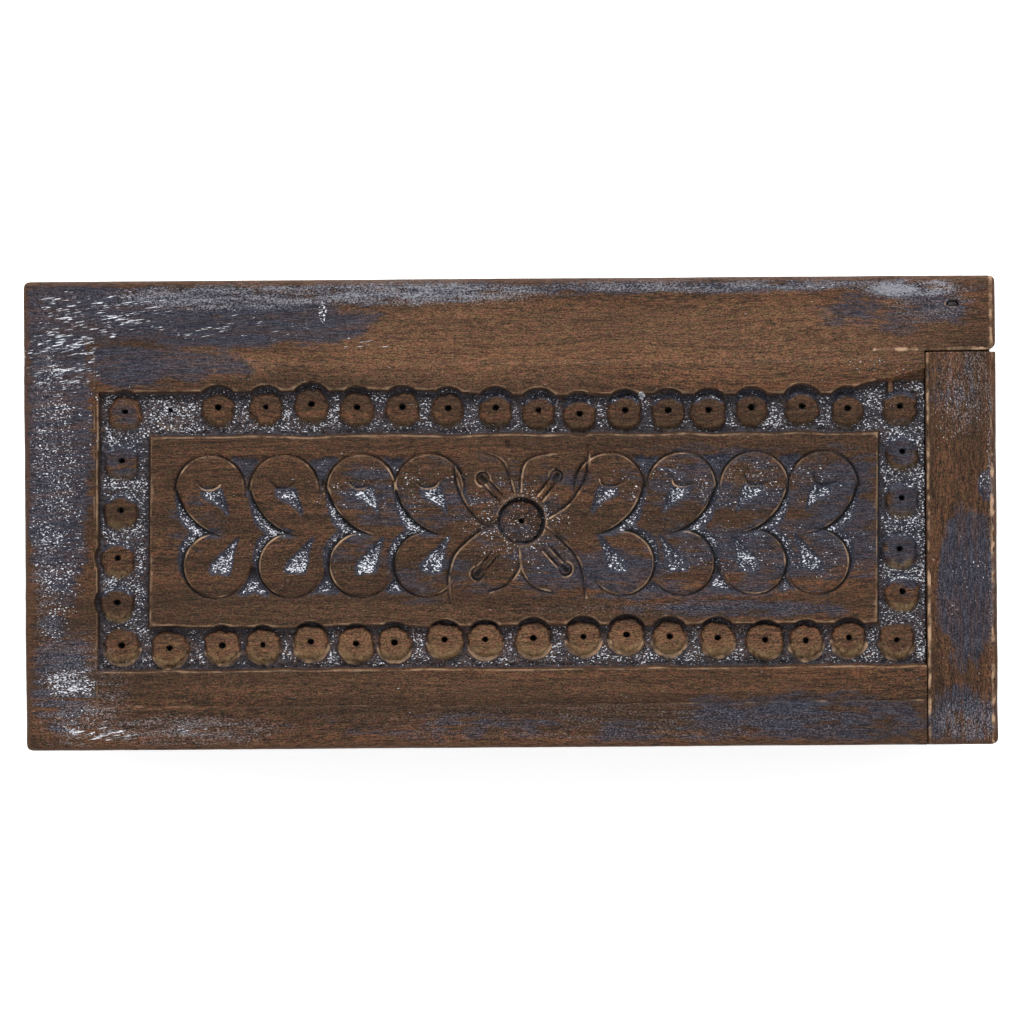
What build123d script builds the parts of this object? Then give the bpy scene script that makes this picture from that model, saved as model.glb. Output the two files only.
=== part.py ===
"""Carved wooden puzzle box: a finger-jointed case, an L-shaped carved lid that swings
on a nail in its back right corner, and a sliding end key that lets the lid swing.

Millimetres. +X runs along the length to the key's end, +Y to the back, +Z up. The origin
is the centre of the underside. The box is modelled shut, with the key pushed home.
"""
from build123d import *
import os

# ---- Driving dimensions ----------------------------------------------------------------
LENGTH = 203.0
WIDTH = 98.0
HEIGHT = 64.0
LID_THICKNESS = 12.0
BOTTOM_THICKNESS = 6.0
WALL_THICKNESS = 11.0
KEY_WIDTH = 14.7            # the end key, across the right end of the lid
ARM_WIDTH = 15.7            # the lid's back strip, which runs on past the key
SWING_GAP = 0.5             # between the lid's end and the key
ARM_GAP = 0.3               # between the lid's arm and the end of the key
KEY_TRAVEL = 12.0
FINGERS = 5                 # bands in each corner joint; the long walls own the even ones

EDGE_ROUND = 1.2            # worn outer edges
CORNER_ROUND = 1.6          # worn upright corners
ARM_CORNER_ROUND = 2.0      # lets the arm turn past the key

# ---- Places worked out from them --------------------------------------------------------
RIGHT, BACK = LENGTH / 2, WIDTH / 2
WALL_TOP = HEIGHT - LID_THICKNESS
WALL_HEIGHT = WALL_TOP - BOTTOM_THICKNESS
KEY_LEFT = RIGHT - KEY_WIDTH
LID_END = KEY_LEFT - SWING_GAP
ARM_FRONT = BACK - ARM_WIDTH
KEY_BACK = ARM_FRONT - ARM_GAP

# ---- Pivot nail --------------------------------------------------------------------------
PIVOT_X = RIGHT - 8.9
PIVOT_Y = BACK - 5.9
NAIL_RADIUS = 1.0
NAIL_CLEARANCE = 0.06       # in the lid only; the nail is driven tight into the walls
NAIL_LENGTH = 32.0
NAIL_SUNK = 1.8             # its end lies this far under the lid's face
NAIL_POINT = 3.0
NAIL_TIP_RADIUS = 0.15
PIT_LENGTH, PIT_WIDTH = 2.4, 1.1

# ---- Carving: a sunk border of drilled rosettes round a leaf panel -----------------------
CARVE_Y = -2.4              # the carving sits nearer the front, because the arm is wide
# The rosettes are spaced by eye, so no two gaps are quite the same.
BACK_ROW_Y, FRONT_ROW_Y = 22.0, -27.0
BACK_X = (-80.5, -71, -61, -51, -41.5, -32, -22.5, -13, -3, 6, 14.5, 24, 33, 41.5, 50.5, 61, 70.5, 81.5)
BACK_RISES = (-.3, 0, .5, .5, 1, .3, .3, 0, -.1, -.6, -1.3, -.7, -.8, -.8, -.3, -.1, -.6, -.3)
FRONT_X = (-81.5, -71.5, -60.5, -52, -42, -32.5, -24.5, -14, -5.5, 4.5, 15, 24, 33, 43, 53, 61.5, 70.5, 80.5)
FRONT_RISES = (-.1, -.8, -.3, -.2, .4, -.1, .1, .6, .6, .7, 1, 1.4, .9, .6, .1, -.1, .4, -.1)
LEFT_COLUMN = ((-81.2, 11.5), (-81.5, 1.2), (-82.2, -8.8), (-82.4, -18.1))
RIGHT_COLUMN = ((81.9, 12.3), (81.8, 2.5), (81.2, -8.1), (81.7, -17.0))
BORDER_LEFT, BORDER_FRONT, BORDER_BACK = -86.2, -32.5, 25.3
PANEL_LEFT, PANEL_RIGHT, PANEL_FRONT, PANEL_BACK = -75.3, 76.6, -23.3, 16.3
BORDER_DEPTH = 2.5
CUTTER_RADIUS = 4.6
ROSETTE_RADIUS = 3.6
ROSETTE_SHIFT = 0.7         # the buttons stand this much nearer the front than their holes
ROSETTE_DROP = 0.9
DRILL_RADIUS = 0.52
DRILL_DEPTH = 3.6
UNCUT = 1                   # the second place in the back row was drilled but has no button
ARM_KEPT = 1.0              # wood left whole beside the arm's seam
SHOULDER = 0.1              # by which a cut passes the edge that it meets
NEAR = 0.1                  # two places closer than this are the same

MOTIF_X = 2.0
LEAVES = 4                  # in each of the four quarters of the panel
LEAF_FIRST, LEAF_PITCH = 18.8, 15.3
HEAD_RADIUS, HEAD_Y = 7.0, 7.8
TAIL_RADIUS, TAIL_X, TAIL_Y = 14.4, 8.0, 12.6
PETAL_RADIUS, PETAL_X, PETAL_Y = 6.6, 8.4, 7.7
SEPAL_RADIUS, SEPAL_X, SEPAL_Y = 13.6, 1.0, 12.2
STAMEN = ((3.6, 3.6), (7.6, 7.9))
NICK_HALF_WIDTH, NICK_TOP, NICK_POINT_X, NICK_POINT_Y = 2.9, 10.0, 4.8, 3.4
GROOVE_WIDTH, GROOVE_DEPTH = 0.7, 0.7
NICK_DEPTH = 0.8

# ---- Key joinery -------------------------------------------------------------------------
DOVETAIL_X = RIGHT - WALL_THICKNESS / 2
DOVETAIL_NECK, DOVETAIL_FOOT = 4.2, 6.2
DOVETAIL_DEPTH = 4.4
DOVETAIL_LET_IN = 2.0       # how far the strip is let into the key
DOVETAIL_BACK = KEY_BACK - 5.0
SLIDE_CLEARANCE = 0.15
TONGUE_REACH, TONGUE_THICKNESS = 2.5, 3.0
TONGUE_FRONT, TONGUE_BACK = -40.0, KEY_BACK - 3.0
TONGUE_Z = WALL_TOP + 6.0
TONGUE_SLACK = 0.4
GROOVE_RUN_OUT = 4.0        # how far the tongue's groove runs on past it, towards the front
STOP_Y = -12.0
STOP_RISE = 0.9             # the stop pin's height over the foot of the dovetail
STOP_END = 0.6              # wood left past each end of the stop pin
BRAD_RADIUS = 0.6
BRAD_ROOM = 0.3
KEY_BRADS_Y = (-38.0, -22.0, 18.0)
KEY_BRAD_SUNK, KEY_BRAD_REACH = 0.2, 8.0
STRIP_SET_BACK = 0.4        # the strip's end stands this far inside the front face
GROOVE_SPARE = 1.0          # the dovetail groove runs on this far past the strip

# ---- Bottom brads ------------------------------------------------------------------------
BOTTOM_BRAD_RADIUS, BOTTOM_BRAD_HEAD = 0.8, 1.6
BOTTOM_BRAD_LENGTH, HEAD_THICKNESS = 22.0, 0.5
HEAD_SUNK = 0.3
BRAD_COLUMNS = (-84.0, -28.0, 28.0, 84.0)


def block(x0, x1, y0, y1, z0, z1):
    """The box between two corners."""
    return Pos((x0 + x1) / 2, (y0 + y1) / 2, (z0 + z1) / 2) * Box(x1 - x0, y1 - y0, z1 - z0)


def rod(x, y, z0, z1, radius):
    """An upright cylinder from z0 to z1."""
    return Pos(x, y, (z0 + z1) / 2) * Cylinder(radius, z1 - z0)


def sunk(face, depth):
    """A cutter that goes depth down from the top of the lid."""
    return extrude(Pos(0, 0, HEIGHT) * face, amount=-depth)


# ---- Case --------------------------------------------------------------------------------
def carcass():
    """The outer shape of the four walls together, with its upright corners eased."""
    solid = block(-RIGHT, RIGHT, -BACK, BACK, BOTTOM_THICKNESS, WALL_TOP)
    return fillet(solid.edges().filter_by(Axis.Z), CORNER_ROUND)


def corner_bands(first):
    """Every second finger band of all four corners, starting with band number first."""
    band = WALL_HEIGHT / FINGERS
    blocks = []
    for number in range(first, FINGERS, 2):
        low = BOTTOM_THICKNESS + number * band
        for x in (-RIGHT, RIGHT - WALL_THICKNESS):
            for y in (-BACK, BACK - WALL_THICKNESS):
                blocks.append(block(x, x + WALL_THICKNESS, y, y + WALL_THICKNESS, low, low + band))
    return blocks


def long_wall(front):
    """The front or back board, without the bands that the end boards own."""
    y0 = -BACK if front else BACK - WALL_THICKNESS
    board = block(-RIGHT, RIGHT, y0, y0 + WALL_THICKNESS, BOTTOM_THICKNESS, WALL_TOP)
    return (board & carcass()) - corner_bands(1)


def end_wall(left):
    """The left or right board, without the bands that the long boards own."""
    x0 = -RIGHT if left else RIGHT - WALL_THICKNESS
    board = block(x0, x0 + WALL_THICKNESS, -BACK, BACK, BOTTOM_THICKNESS, WALL_TOP)
    return (board & carcass()) - corner_bands(0)


def bottom_board():
    """The bottom, nailed on from below, with its lower edges eased."""
    board = block(-RIGHT, RIGHT, -BACK, BACK, 0, BOTTOM_THICKNESS)
    board = fillet(board.edges().filter_by(Axis.Z), CORNER_ROUND)
    return fillet(board.faces().sort_by(Axis.Z)[0].edges(), EDGE_ROUND / 2)


def brad_places():
    """Where the bottom board is nailed: along both long walls and at each end."""
    inset = WALL_THICKNESS / 2
    along = [(x, side * (BACK - inset)) for side in (-1, 1) for x in BRAD_COLUMNS]
    return along + [(-RIGHT + inset, 0.0), (RIGHT - inset, 0.0)]


def bottom_brads():
    """Flat-headed nails, driven up just past flush."""
    nails = []
    for x, y in brad_places():
        head = rod(x, y, HEAD_SUNK, HEAD_SUNK + HEAD_THICKNESS, BOTTOM_BRAD_HEAD)
        shank = rod(x, y, HEAD_SUNK, BOTTOM_BRAD_LENGTH, BOTTOM_BRAD_RADIUS)
        nails.append(head + shank)
    return nails


def bottom_brad_holes():
    """The nails' holes, with each head's dimple open to the underside."""
    return [rod(x, y, 0, HEAD_SUNK + HEAD_THICKNESS, BOTTOM_BRAD_HEAD) for x, y in brad_places()]


def pivot_nail():
    """A headless nail, pointed at its lower end."""
    top = HEIGHT - NAIL_SUNK
    foot = top - NAIL_LENGTH
    shank = rod(PIVOT_X, PIVOT_Y, foot + NAIL_POINT, top, NAIL_RADIUS)
    point = Pos(PIVOT_X, PIVOT_Y, foot + NAIL_POINT / 2) * Cone(NAIL_TIP_RADIUS, NAIL_RADIUS, NAIL_POINT)
    return shank + point


def key_stop_pin():
    """A brad across the dovetail groove. The key's slot runs on it, so the key can't come out."""
    length = WALL_THICKNESS - 2 * STOP_END
    lying = Pos(DOVETAIL_X, STOP_Y, stop_height()) * Rot(0, 90, 0)
    return lying * Cylinder(BRAD_RADIUS, length)


def stop_hole():
    """The stop pin's hole, open at the outer face of the right wall."""
    reach = WALL_THICKNESS / 2
    start = DOVETAIL_X - reach + STOP_END
    lying = Pos((start + RIGHT) / 2, STOP_Y, stop_height()) * Rot(0, 90, 0)
    return lying * Cylinder(BRAD_RADIUS, RIGHT - start)


def stop_height():
    """The height of the stop pin's axis."""
    return WALL_TOP - DOVETAIL_DEPTH + STOP_RISE


# ---- Lid ---------------------------------------------------------------------------------
def lid_blank():
    """The L-shaped board: the full length along the back, and stopped short at the key."""
    corners = [(-RIGHT, -BACK), (LID_END, -BACK), (LID_END, ARM_FRONT),
               (RIGHT, ARM_FRONT), (RIGHT, BACK), (-RIGHT, BACK)]
    outline = make_face(Polyline(*corners, close=True))
    blank = extrude(Pos(0, 0, WALL_TOP) * outline, amount=LID_THICKNESS)
    upright = blank.edges().filter_by(Axis.Z)
    arm_tip = upright.filter_by_position(Axis.Y, ARM_FRONT - NEAR, ARM_FRONT + NEAR).sort_by(Axis.X)[-1]
    outer = [upright.sort_by(Axis.X)[0], upright.sort_by(Axis.X)[1],
             upright.group_by(Axis.Y)[-1].sort_by(Axis.X)[-1]]
    blank = fillet(arm_tip, ARM_CORNER_ROUND)
    for x, y in [(e.center().X, e.center().Y) for e in outer]:
        near = [e for e in blank.edges().filter_by(Axis.Z)
                if abs(e.center().X - x) < NEAR and abs(e.center().Y - y) < NEAR]
        blank = fillet(near, CORNER_ROUND)
    top = blank.faces().sort_by(Axis.Z)[-1].edges()
    worn = [e for e in top if on_rim(e.center())]
    return fillet(worn, EDGE_ROUND)


def on_rim(point):
    """True on the outer rim of the box's top, and not on the seams with the key."""
    margin = CORNER_ROUND
    at_side = point.X < -RIGHT + margin or abs(point.Y) > BACK - margin
    return at_side or point.X > RIGHT - margin


def rosette_centres():
    """The drilled rosettes: two long rows, and the short columns between them."""
    back = [(x, BACK_ROW_Y + rise) for x, rise in zip(BACK_X, BACK_RISES)]
    front = [(x, FRONT_ROW_Y + rise) for x, rise in zip(FRONT_X, FRONT_RISES)]
    return back + front + list(LEFT_COLUMN) + list(RIGHT_COLUMN)


def button_centres():
    """The round buttons that stand in the border, a little nearer the front than their holes."""
    return [(x, y - ROSETTE_SHIFT) for i, (x, y) in enumerate(rosette_centres()) if i != UNCUT]


def rectangle(x0, x1, y0, y1):
    """The flat rectangle between two corners."""
    return Pos((x0 + x1) / 2, (y0 + y1) / 2) * Rectangle(x1 - x0, y1 - y0)


def border_face():
    """The sunk border seen from above. It runs out at the lid's end, against the key."""
    outer = rectangle(BORDER_LEFT, RIGHT, BORDER_FRONT, BORDER_BACK)
    inner = rectangle(PANEL_LEFT, PANEL_RIGHT, PANEL_FRONT, PANEL_BACK)
    cuts = [Pos(x, y) * Circle(CUTTER_RADIUS) for x, y in rosette_centres()]
    buttons = [Pos(x, y) * Circle(ROSETTE_RADIUS) for x, y in button_centres()]
    within = rectangle(-RIGHT, LID_END + SHOULDER, -BACK, ARM_FRONT - ARM_KEPT)
    return ((outer - inner) + cuts - buttons) & within


def centre_face():
    """The ring cut round the centre rosette."""
    middle = Pos(MOTIF_X, CARVE_Y)
    return middle * Circle(CUTTER_RADIUS) - middle * Circle(ROSETTE_RADIUS)


def quarter_lines():
    """The gouged lines in one quarter of the panel, about (0, 0), with +X outwards."""
    lines = []
    for i in range(LEAVES):
        x = LEAF_FIRST + i * LEAF_PITCH
        lines.append(CenterArc((x, HEAD_Y), HEAD_RADIUS, -15, 195))
        lines.append(CenterArc((x - TAIL_X, TAIL_Y), TAIL_RADIUS, -79, 60))
    lines.append(CenterArc((PETAL_X, PETAL_Y), PETAL_RADIUS, 85, 105))
    lines.append(CenterArc((SEPAL_X, SEPAL_Y), SEPAL_RADIUS, -72, 76))
    lines.append(Line(*STAMEN))
    return lines


def quarter_nicks():
    """The three-cornered chips cut inside each leaf, in the same quarter."""
    chips = []
    for i in range(LEAVES):
        x = LEAF_FIRST + i * LEAF_PITCH
        corners = ((x - NICK_HALF_WIDTH, NICK_TOP), (x + NICK_HALF_WIDTH, NICK_TOP),
                   (x - NICK_POINT_X, NICK_POINT_Y))
        chips.append(make_face(Polyline(*corners, close=True)))
    return chips


def panel_face(shapes):
    """One quarter's faces, mirrored to all four quarters and put on the panel."""
    half = shapes + [mirror(face, Plane.YZ) for face in shapes]
    whole = half + [mirror(face, Plane.XZ) for face in half]
    return [Pos(MOTIF_X, CARVE_Y) * face for face in whole]


def lid_board():
    """The lid with its carving, the nail's bore and pit, and the groove for the key's tongue."""
    board = lid_blank()
    board -= sunk(border_face(), BORDER_DEPTH)
    board -= sunk(centre_face(), BORDER_DEPTH)
    buttons = button_centres() + [(MOTIF_X, CARVE_Y)]
    holes = rosette_centres() + [(MOTIF_X, CARVE_Y)]
    board -= [sunk(Pos(x, y) * Circle(ROSETTE_RADIUS + SHOULDER), ROSETTE_DROP) for x, y in buttons]
    board -= [sunk(Pos(x, y) * Circle(DRILL_RADIUS), DRILL_DEPTH) for x, y in holes]
    grooves = [trace(line, line_width=GROOVE_WIDTH) for line in quarter_lines()]
    board -= [sunk(face, GROOVE_DEPTH) for face in panel_face(grooves)]
    board -= [sunk(face, NICK_DEPTH) for face in panel_face(quarter_nicks())]
    board -= rod(PIVOT_X, PIVOT_Y, WALL_TOP, HEIGHT - NAIL_SUNK, NAIL_RADIUS + NAIL_CLEARANCE)
    board -= sunk(Pos(PIVOT_X, PIVOT_Y) * SlotOverall(PIT_LENGTH, PIT_WIDTH), NAIL_SUNK)
    return board - tongue_groove()


def tongue_groove():
    """The groove in the lid's end that takes the key's tongue."""
    half = TONGUE_THICKNESS / 2 + TONGUE_SLACK / 2
    deep = KEY_LEFT - TONGUE_REACH - TONGUE_SLACK
    return block(deep, LID_END, TONGUE_FRONT - GROOVE_RUN_OUT, ARM_FRONT, TONGUE_Z - half, TONGUE_Z + half)


# ---- End key -----------------------------------------------------------------------------
def dovetail(clearance, y0, y1, top):
    """The dovetail strip, or with clearance its groove, from y0 to y1 and up to top."""
    neck, foot = DOVETAIL_NECK / 2 + clearance, DOVETAIL_FOOT / 2 + clearance
    low = WALL_TOP - DOVETAIL_DEPTH - clearance
    profile = [(-neck, top), (-neck, WALL_TOP), (-foot, low), (foot, low), (neck, WALL_TOP), (neck, top)]
    face = make_face(Polyline(*profile, close=True))
    side = Plane(origin=(DOVETAIL_X, y1, 0), x_dir=(1, 0, 0), z_dir=(0, -1, 0))
    return extrude(side * face, amount=y1 - y0)


def dovetail_groove():
    """Open at the front face, where the strip goes in, and blind at the back."""
    return dovetail(SLIDE_CLEARANCE, -BACK, DOVETAIL_BACK + GROOVE_SPARE, WALL_TOP + SHOULDER)


def key_dovetail():
    """The strip under the key, with its brad holes and the slot for the stop pin."""
    strip = dovetail(0, -BACK + STRIP_SET_BACK, DOVETAIL_BACK, WALL_TOP + DOVETAIL_LET_IN)
    room = BRAD_RADIUS + BRAD_ROOM
    slot = block(DOVETAIL_X - DOVETAIL_FOOT, DOVETAIL_X + DOVETAIL_FOOT, STOP_Y - room,
                 STOP_Y + KEY_TRAVEL + room, 0, stop_height() + room)
    return strip - slot - key_brads()


def key_brads():
    """Three brads, driven up through the strip into the key."""
    low = WALL_TOP - DOVETAIL_DEPTH + KEY_BRAD_SUNK
    return [rod(DOVETAIL_X, y, low, WALL_TOP + KEY_BRAD_REACH, BRAD_RADIUS) for y in KEY_BRADS_Y]


def end_key():
    """The sliding key, with its tongue and the slot that takes the dovetail strip."""
    key = block(KEY_LEFT, RIGHT, -BACK, KEY_BACK, WALL_TOP, HEIGHT)
    upright = key.edges().filter_by(Axis.Z).group_by(Axis.Y)[0].sort_by(Axis.X)[-1]
    key = fillet(upright, CORNER_ROUND)
    top = key.faces().sort_by(Axis.Z)[-1].edges()
    key = fillet([e for e in top if on_rim(e.center())], EDGE_ROUND)
    half = TONGUE_THICKNESS / 2
    key += block(KEY_LEFT - TONGUE_REACH, KEY_LEFT, TONGUE_FRONT, TONGUE_BACK,
                 TONGUE_Z - half, TONGUE_Z + half)
    let_in = block(DOVETAIL_X - DOVETAIL_NECK / 2, DOVETAIL_X + DOVETAIL_NECK / 2,
                   -BACK, DOVETAIL_BACK, WALL_TOP, WALL_TOP + DOVETAIL_LET_IN)
    return key - let_in - key_brads()


# ---- Assembly ----------------------------------------------------------------------------
def build():
    """Every node of the box, by name."""
    nail = pivot_nail()
    brads = bottom_brads()
    groove = dovetail_groove()
    return {
        "bottom_board": bottom_board() - bottom_brad_holes() - brads,
        "front_wall": long_wall(front=True) - brads - groove,
        "back_wall": long_wall(front=False) - brads - nail,
        "left_wall": end_wall(left=True) - brads,
        "right_wall": end_wall(left=False) - brads - nail - groove - stop_hole(),
        "bottom_brads": Compound(brads),
        "pivot_nail": nail,
        "key_stop_pin": key_stop_pin(),
        "lid_board": lid_board(),
        "end_key": end_key(),
        "key_dovetail": key_dovetail(),
        "key_brads": Compound(key_brads()),
    }


os.makedirs("parts", exist_ok=True)
for node, shape in build().items():
    export_step(shape, f"parts/{node}.step")
    print(f"{node:14s} {len(shape.solids()):2d} solids {shape.volume / 1000:9.3f} cm3")
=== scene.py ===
"""The looks of the carved puzzle box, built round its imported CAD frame.

The lid and the end key are rebuilt with their real carving and wear, as closed meshes
shaped by a relief that is worked out here in millimetres. The case keeps its CAD boards.
Every material is procedural.
"""

import math

import bmesh
import bpy
import numpy as np
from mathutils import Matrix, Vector


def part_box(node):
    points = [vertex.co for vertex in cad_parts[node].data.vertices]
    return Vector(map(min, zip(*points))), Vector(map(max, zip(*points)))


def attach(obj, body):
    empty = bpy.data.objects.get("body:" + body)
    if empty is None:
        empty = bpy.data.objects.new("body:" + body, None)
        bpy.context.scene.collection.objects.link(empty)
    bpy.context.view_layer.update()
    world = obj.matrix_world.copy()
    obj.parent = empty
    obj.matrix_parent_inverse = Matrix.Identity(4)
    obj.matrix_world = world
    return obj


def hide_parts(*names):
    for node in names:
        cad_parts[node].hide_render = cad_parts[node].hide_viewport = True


MM = 0.001
SEED = 41

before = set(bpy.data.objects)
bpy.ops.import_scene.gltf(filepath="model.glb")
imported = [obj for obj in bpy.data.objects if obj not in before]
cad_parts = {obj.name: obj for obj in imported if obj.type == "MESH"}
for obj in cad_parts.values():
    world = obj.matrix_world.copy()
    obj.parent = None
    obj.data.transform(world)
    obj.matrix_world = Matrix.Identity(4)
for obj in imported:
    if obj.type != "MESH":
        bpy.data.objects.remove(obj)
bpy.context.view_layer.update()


# ---- Places, from the frame, in millimetres ----------------------------------------------
def box_mm(node):
    low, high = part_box(node)
    return np.array(low) / MM, np.array(high) / MM


lid_low, lid_high = box_mm("lid_board")
key_low, key_high = box_mm("end_key")
nail_low, nail_high = box_mm("pivot_nail")
strip_low, strip_high = box_mm("key_dovetail")
wall_low, wall_high = box_mm("left_wall")
LEFT, RIGHT = lid_low[0], lid_high[0]
FRONT, BACK = lid_low[1], lid_high[1]
LID_BASE, TOP = lid_low[2], lid_high[2]
TONGUE_REACH = 2.5
TONGUE_HALF, TONGUE_RISE = 1.5, 6
SWING_GAP = 0.2                 # this edge of the lid only ever swings away from the key
ARM_GAP = 0.3
KEY_CLEARANCE = 0.02            # lets the key slide over the walls without touching them
KEY_LEFT = key_low[0] + TONGUE_REACH
LID_END = KEY_LEFT - SWING_GAP
KEY_BACK = key_high[1]
ARM_FRONT = KEY_BACK + ARM_GAP
PIVOT = (nail_low + nail_high) / 2
WALL = wall_high[0] - wall_low[0]
CORNER = 1.6
ARM_CORNER = 2.0
NAIL_BORE = 1.06
LID_TRIANGLES = 190000          # the carved lid is thinned out to at most this many triangles


# ---- Relief: how deep the lid's top is cut, on a fine raster -----------------------------
STEP = 0.2
RASTER_X = np.arange(LEFT, RIGHT + STEP / 2, STEP)
RASTER_Y = np.arange(FRONT, BACK + STEP / 2, STEP)
X, Y = np.meshgrid(RASTER_X, RASTER_Y, indexing="ij")


def smoothstep(low, high, value):
    t = np.clip((value - low) / (high - low), 0.0, 1.0)
    return t * t * (3 - 2 * t)


def lookup(field, x, y):
    """The raster's value at any places, between its points."""
    i = np.clip((np.asarray(x) - LEFT) / STEP, 0, len(RASTER_X) - 1.001)
    j = np.clip((np.asarray(y) - FRONT) / STEP, 0, len(RASTER_Y) - 1.001)
    i0, j0 = i.astype(int), j.astype(int)
    u, v = i - i0, j - j0
    near = field[i0, j0] * (1 - u) + field[i0 + 1, j0] * u
    far = field[i0, j0 + 1] * (1 - u) + field[i0 + 1, j0 + 1] * u
    return near * (1 - v) + far * v


def rough(seed, cell_x, cell_y):
    """Smooth noise from -1 to 1 over the raster, with cells of that size in millimetres."""
    rng = np.random.default_rng(SEED + seed)
    nx, ny = int((RIGHT - LEFT) / cell_x) + 3, int((BACK - FRONT) / cell_y) + 3
    grid = rng.uniform(-1, 1, (nx, ny))
    u, v = (X - LEFT) / cell_x, (Y - FRONT) / cell_y
    i, j = u.astype(int), v.astype(int)
    u, v = smoothstep(0, 1, u - i), smoothstep(0, 1, v - j)
    near = grid[i, j] * (1 - u) + grid[i + 1, j] * u
    far = grid[i, j + 1] * (1 - u) + grid[i + 1, j + 1] * u
    return near * (1 - v) + far * v


def blurred(field, radius):
    """The field smoothed over that radius in millimetres."""
    reach = max(1, int(3 * radius / STEP))
    weights = np.exp(-0.5 * (np.arange(-reach, reach + 1) * STEP / radius) ** 2)
    weights /= weights.sum()
    for axis in (0, 1):
        pad = [(reach, reach) if a == axis else (0, 0) for a in (0, 1)]
        padded = np.pad(field, pad, mode="edge")
        size = field.shape[axis]
        parts = [w * np.take(padded, range(k, k + size), axis=axis) for k, w in enumerate(weights)]
        field = np.sum(parts, axis=0)
    return field


def arc(centre, radius, start, end, points=24):
    """Points round a circle, in degrees."""
    angles = np.radians(np.linspace(start, end, points))
    return np.column_stack([centre[0] + radius * np.cos(angles), centre[1] + radius * np.sin(angles)])


def curve(*points):
    """A smooth line through a few points."""
    knots = np.array(points, float)
    knots = np.vstack([2 * knots[0] - knots[1], knots, 2 * knots[-1] - knots[-2]])
    line = []
    for a, b, c, d in zip(knots, knots[1:], knots[2:], knots[3:]):
        for t in np.linspace(0, 1, 10, endpoint=False):
            line.append(0.5 * (2 * b + (c - a) * t + (2 * a - 5 * b + 4 * c - d) * t**2
                               + (3 * b - a - 3 * c + d) * t**3))
    return np.vstack([line, knots[-2]])


def along(line, spacing=0.15):
    """The line with its points evenly spaced."""
    steps = np.hypot(*np.diff(line, axis=0).T)
    length = np.concatenate([[0], np.cumsum(steps)])
    at = np.linspace(0, length[-1], max(3, int(length[-1] / spacing)))
    return np.column_stack([np.interp(at, length, line[:, k]) for k in (0, 1)])


def profile(values, t):
    """A width or depth that goes through those values, evenly spaced along a cut."""
    values = np.atleast_1d(np.asarray(values, float))
    return np.interp(t, np.linspace(0, 1, len(values)), values) if len(values) > 1 else values[0] + 0 * t


def gouge(field, line, left, right, deep, steep=1):
    """Cuts a V along a line into the field. left and right are how far it slopes each side.

    A steep of 3 gives a flat foot, two thirds of the way out.
    """
    line = along(np.asarray(line, float))
    reach = float(np.max(left) if np.max(left) > np.max(right) else np.max(right)) + STEP
    low, high = line.min(0) - reach, line.max(0) + reach
    i0, i1 = np.searchsorted(RASTER_X, [low[0], high[0]])
    j0, j1 = np.searchsorted(RASTER_Y, [low[1], high[1]])
    x, y = X[i0:i1, j0:j1], Y[i0:i1, j0:j1]
    away_x, away_y = x[..., None] - line[:, 0], y[..., None] - line[:, 1]
    squared = away_x**2 + away_y**2
    nearest = squared.argmin(-1)
    distance = np.sqrt(np.take_along_axis(squared, nearest[..., None], -1)[..., 0])
    tangent = np.gradient(line, axis=0)
    t = nearest / (len(line) - 1)
    dx = np.take_along_axis(away_x, nearest[..., None], -1)[..., 0]
    dy = np.take_along_axis(away_y, nearest[..., None], -1)[..., 0]
    on_left = tangent[nearest, 0] * dy - tangent[nearest, 1] * dx > 0
    width = np.where(on_left, profile(left, t), profile(right, t))
    cut = profile(deep, t) * np.clip(steep * (1 - distance / np.maximum(width, 0.01)), 0, 1)
    field[i0:i1, j0:j1] = np.maximum(field[i0:i1, j0:j1], cut)


chipped, splintered = rough(31, 1.1, 1.1), rough(32, 0.5, 0.5)


# ---- Border of drilled rosettes ----------------------------------------------------------
# The rosettes are cut by hand, so their gaps are uneven
BACK_X = (-80.5, -71, -61, -51, -41.5, -32, -22.5, -13, -3, 6, 14.5, 24, 33, 41.5, 50.5, 61, 70.5, 81.5)
BACK_RISES = (-.3, 0, .5, .5, 1, .3, .3, 0, -.1, -.6, -1.3, -.7, -.8, -.8, -.3, -.1, -.6, -.3)
FRONT_X = (-81.5, -71.5, -60.5, -52, -42, -32.5, -24.5, -14, -5.5, 4.5, 15, 24, 33, 43, 53, 61.5, 70.5, 80.5)
FRONT_RISES = (-.1, -.8, -.3, -.2, .4, -.1, .1, .6, .6, .7, 1, 1.4, .9, .6, .1, -.1, .4, -.1)
BACK_ROW_Y, FRONT_ROW_Y = 22.0, -27.0
LEFT_COLUMN = ((-81.2, 11.5), (-81.5, 1.2), (-82.2, -8.8), (-82.4, -18.1))
RIGHT_COLUMN = ((81.9, 12.3), (81.8, 2.5), (81.2, -8.1), (81.7, -17.0))
UNCUT = 1                       # the second button of the back row was never finished
BORDER_DEPTH = 2.5
CUTTER = 4.6
BUTTON = 3.7
BUTTON_DROP = 0.7               # the buttons stand a little in front of their drilled holes
HOLE, UNCUT_HOLE = 0.52, 0.35
HOLE_DEPTH = 4.2
FRONT_DROP, FRONT_PROUD = 0.45, 0.25     # the front row's buttons fill more of their holes
CENTRE_ROSETTE = (2.2, -1.7)
BORDER_LEFT, BORDER_FRONT, BORDER_BACK = -86.2, -32.5, 25.9
PANEL_LEFT, PANEL_RIGHT, PANEL_FRONT, PANEL_BACK = -75.3, 76.6, -23.3, 16.3
SHELF_LEFT, SHELF_BACK = 80.2, 27.6     # a shallow step behind the last rosette of the back row
SLIVER_X = 79.5                         # a splinter left standing beside that step

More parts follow.
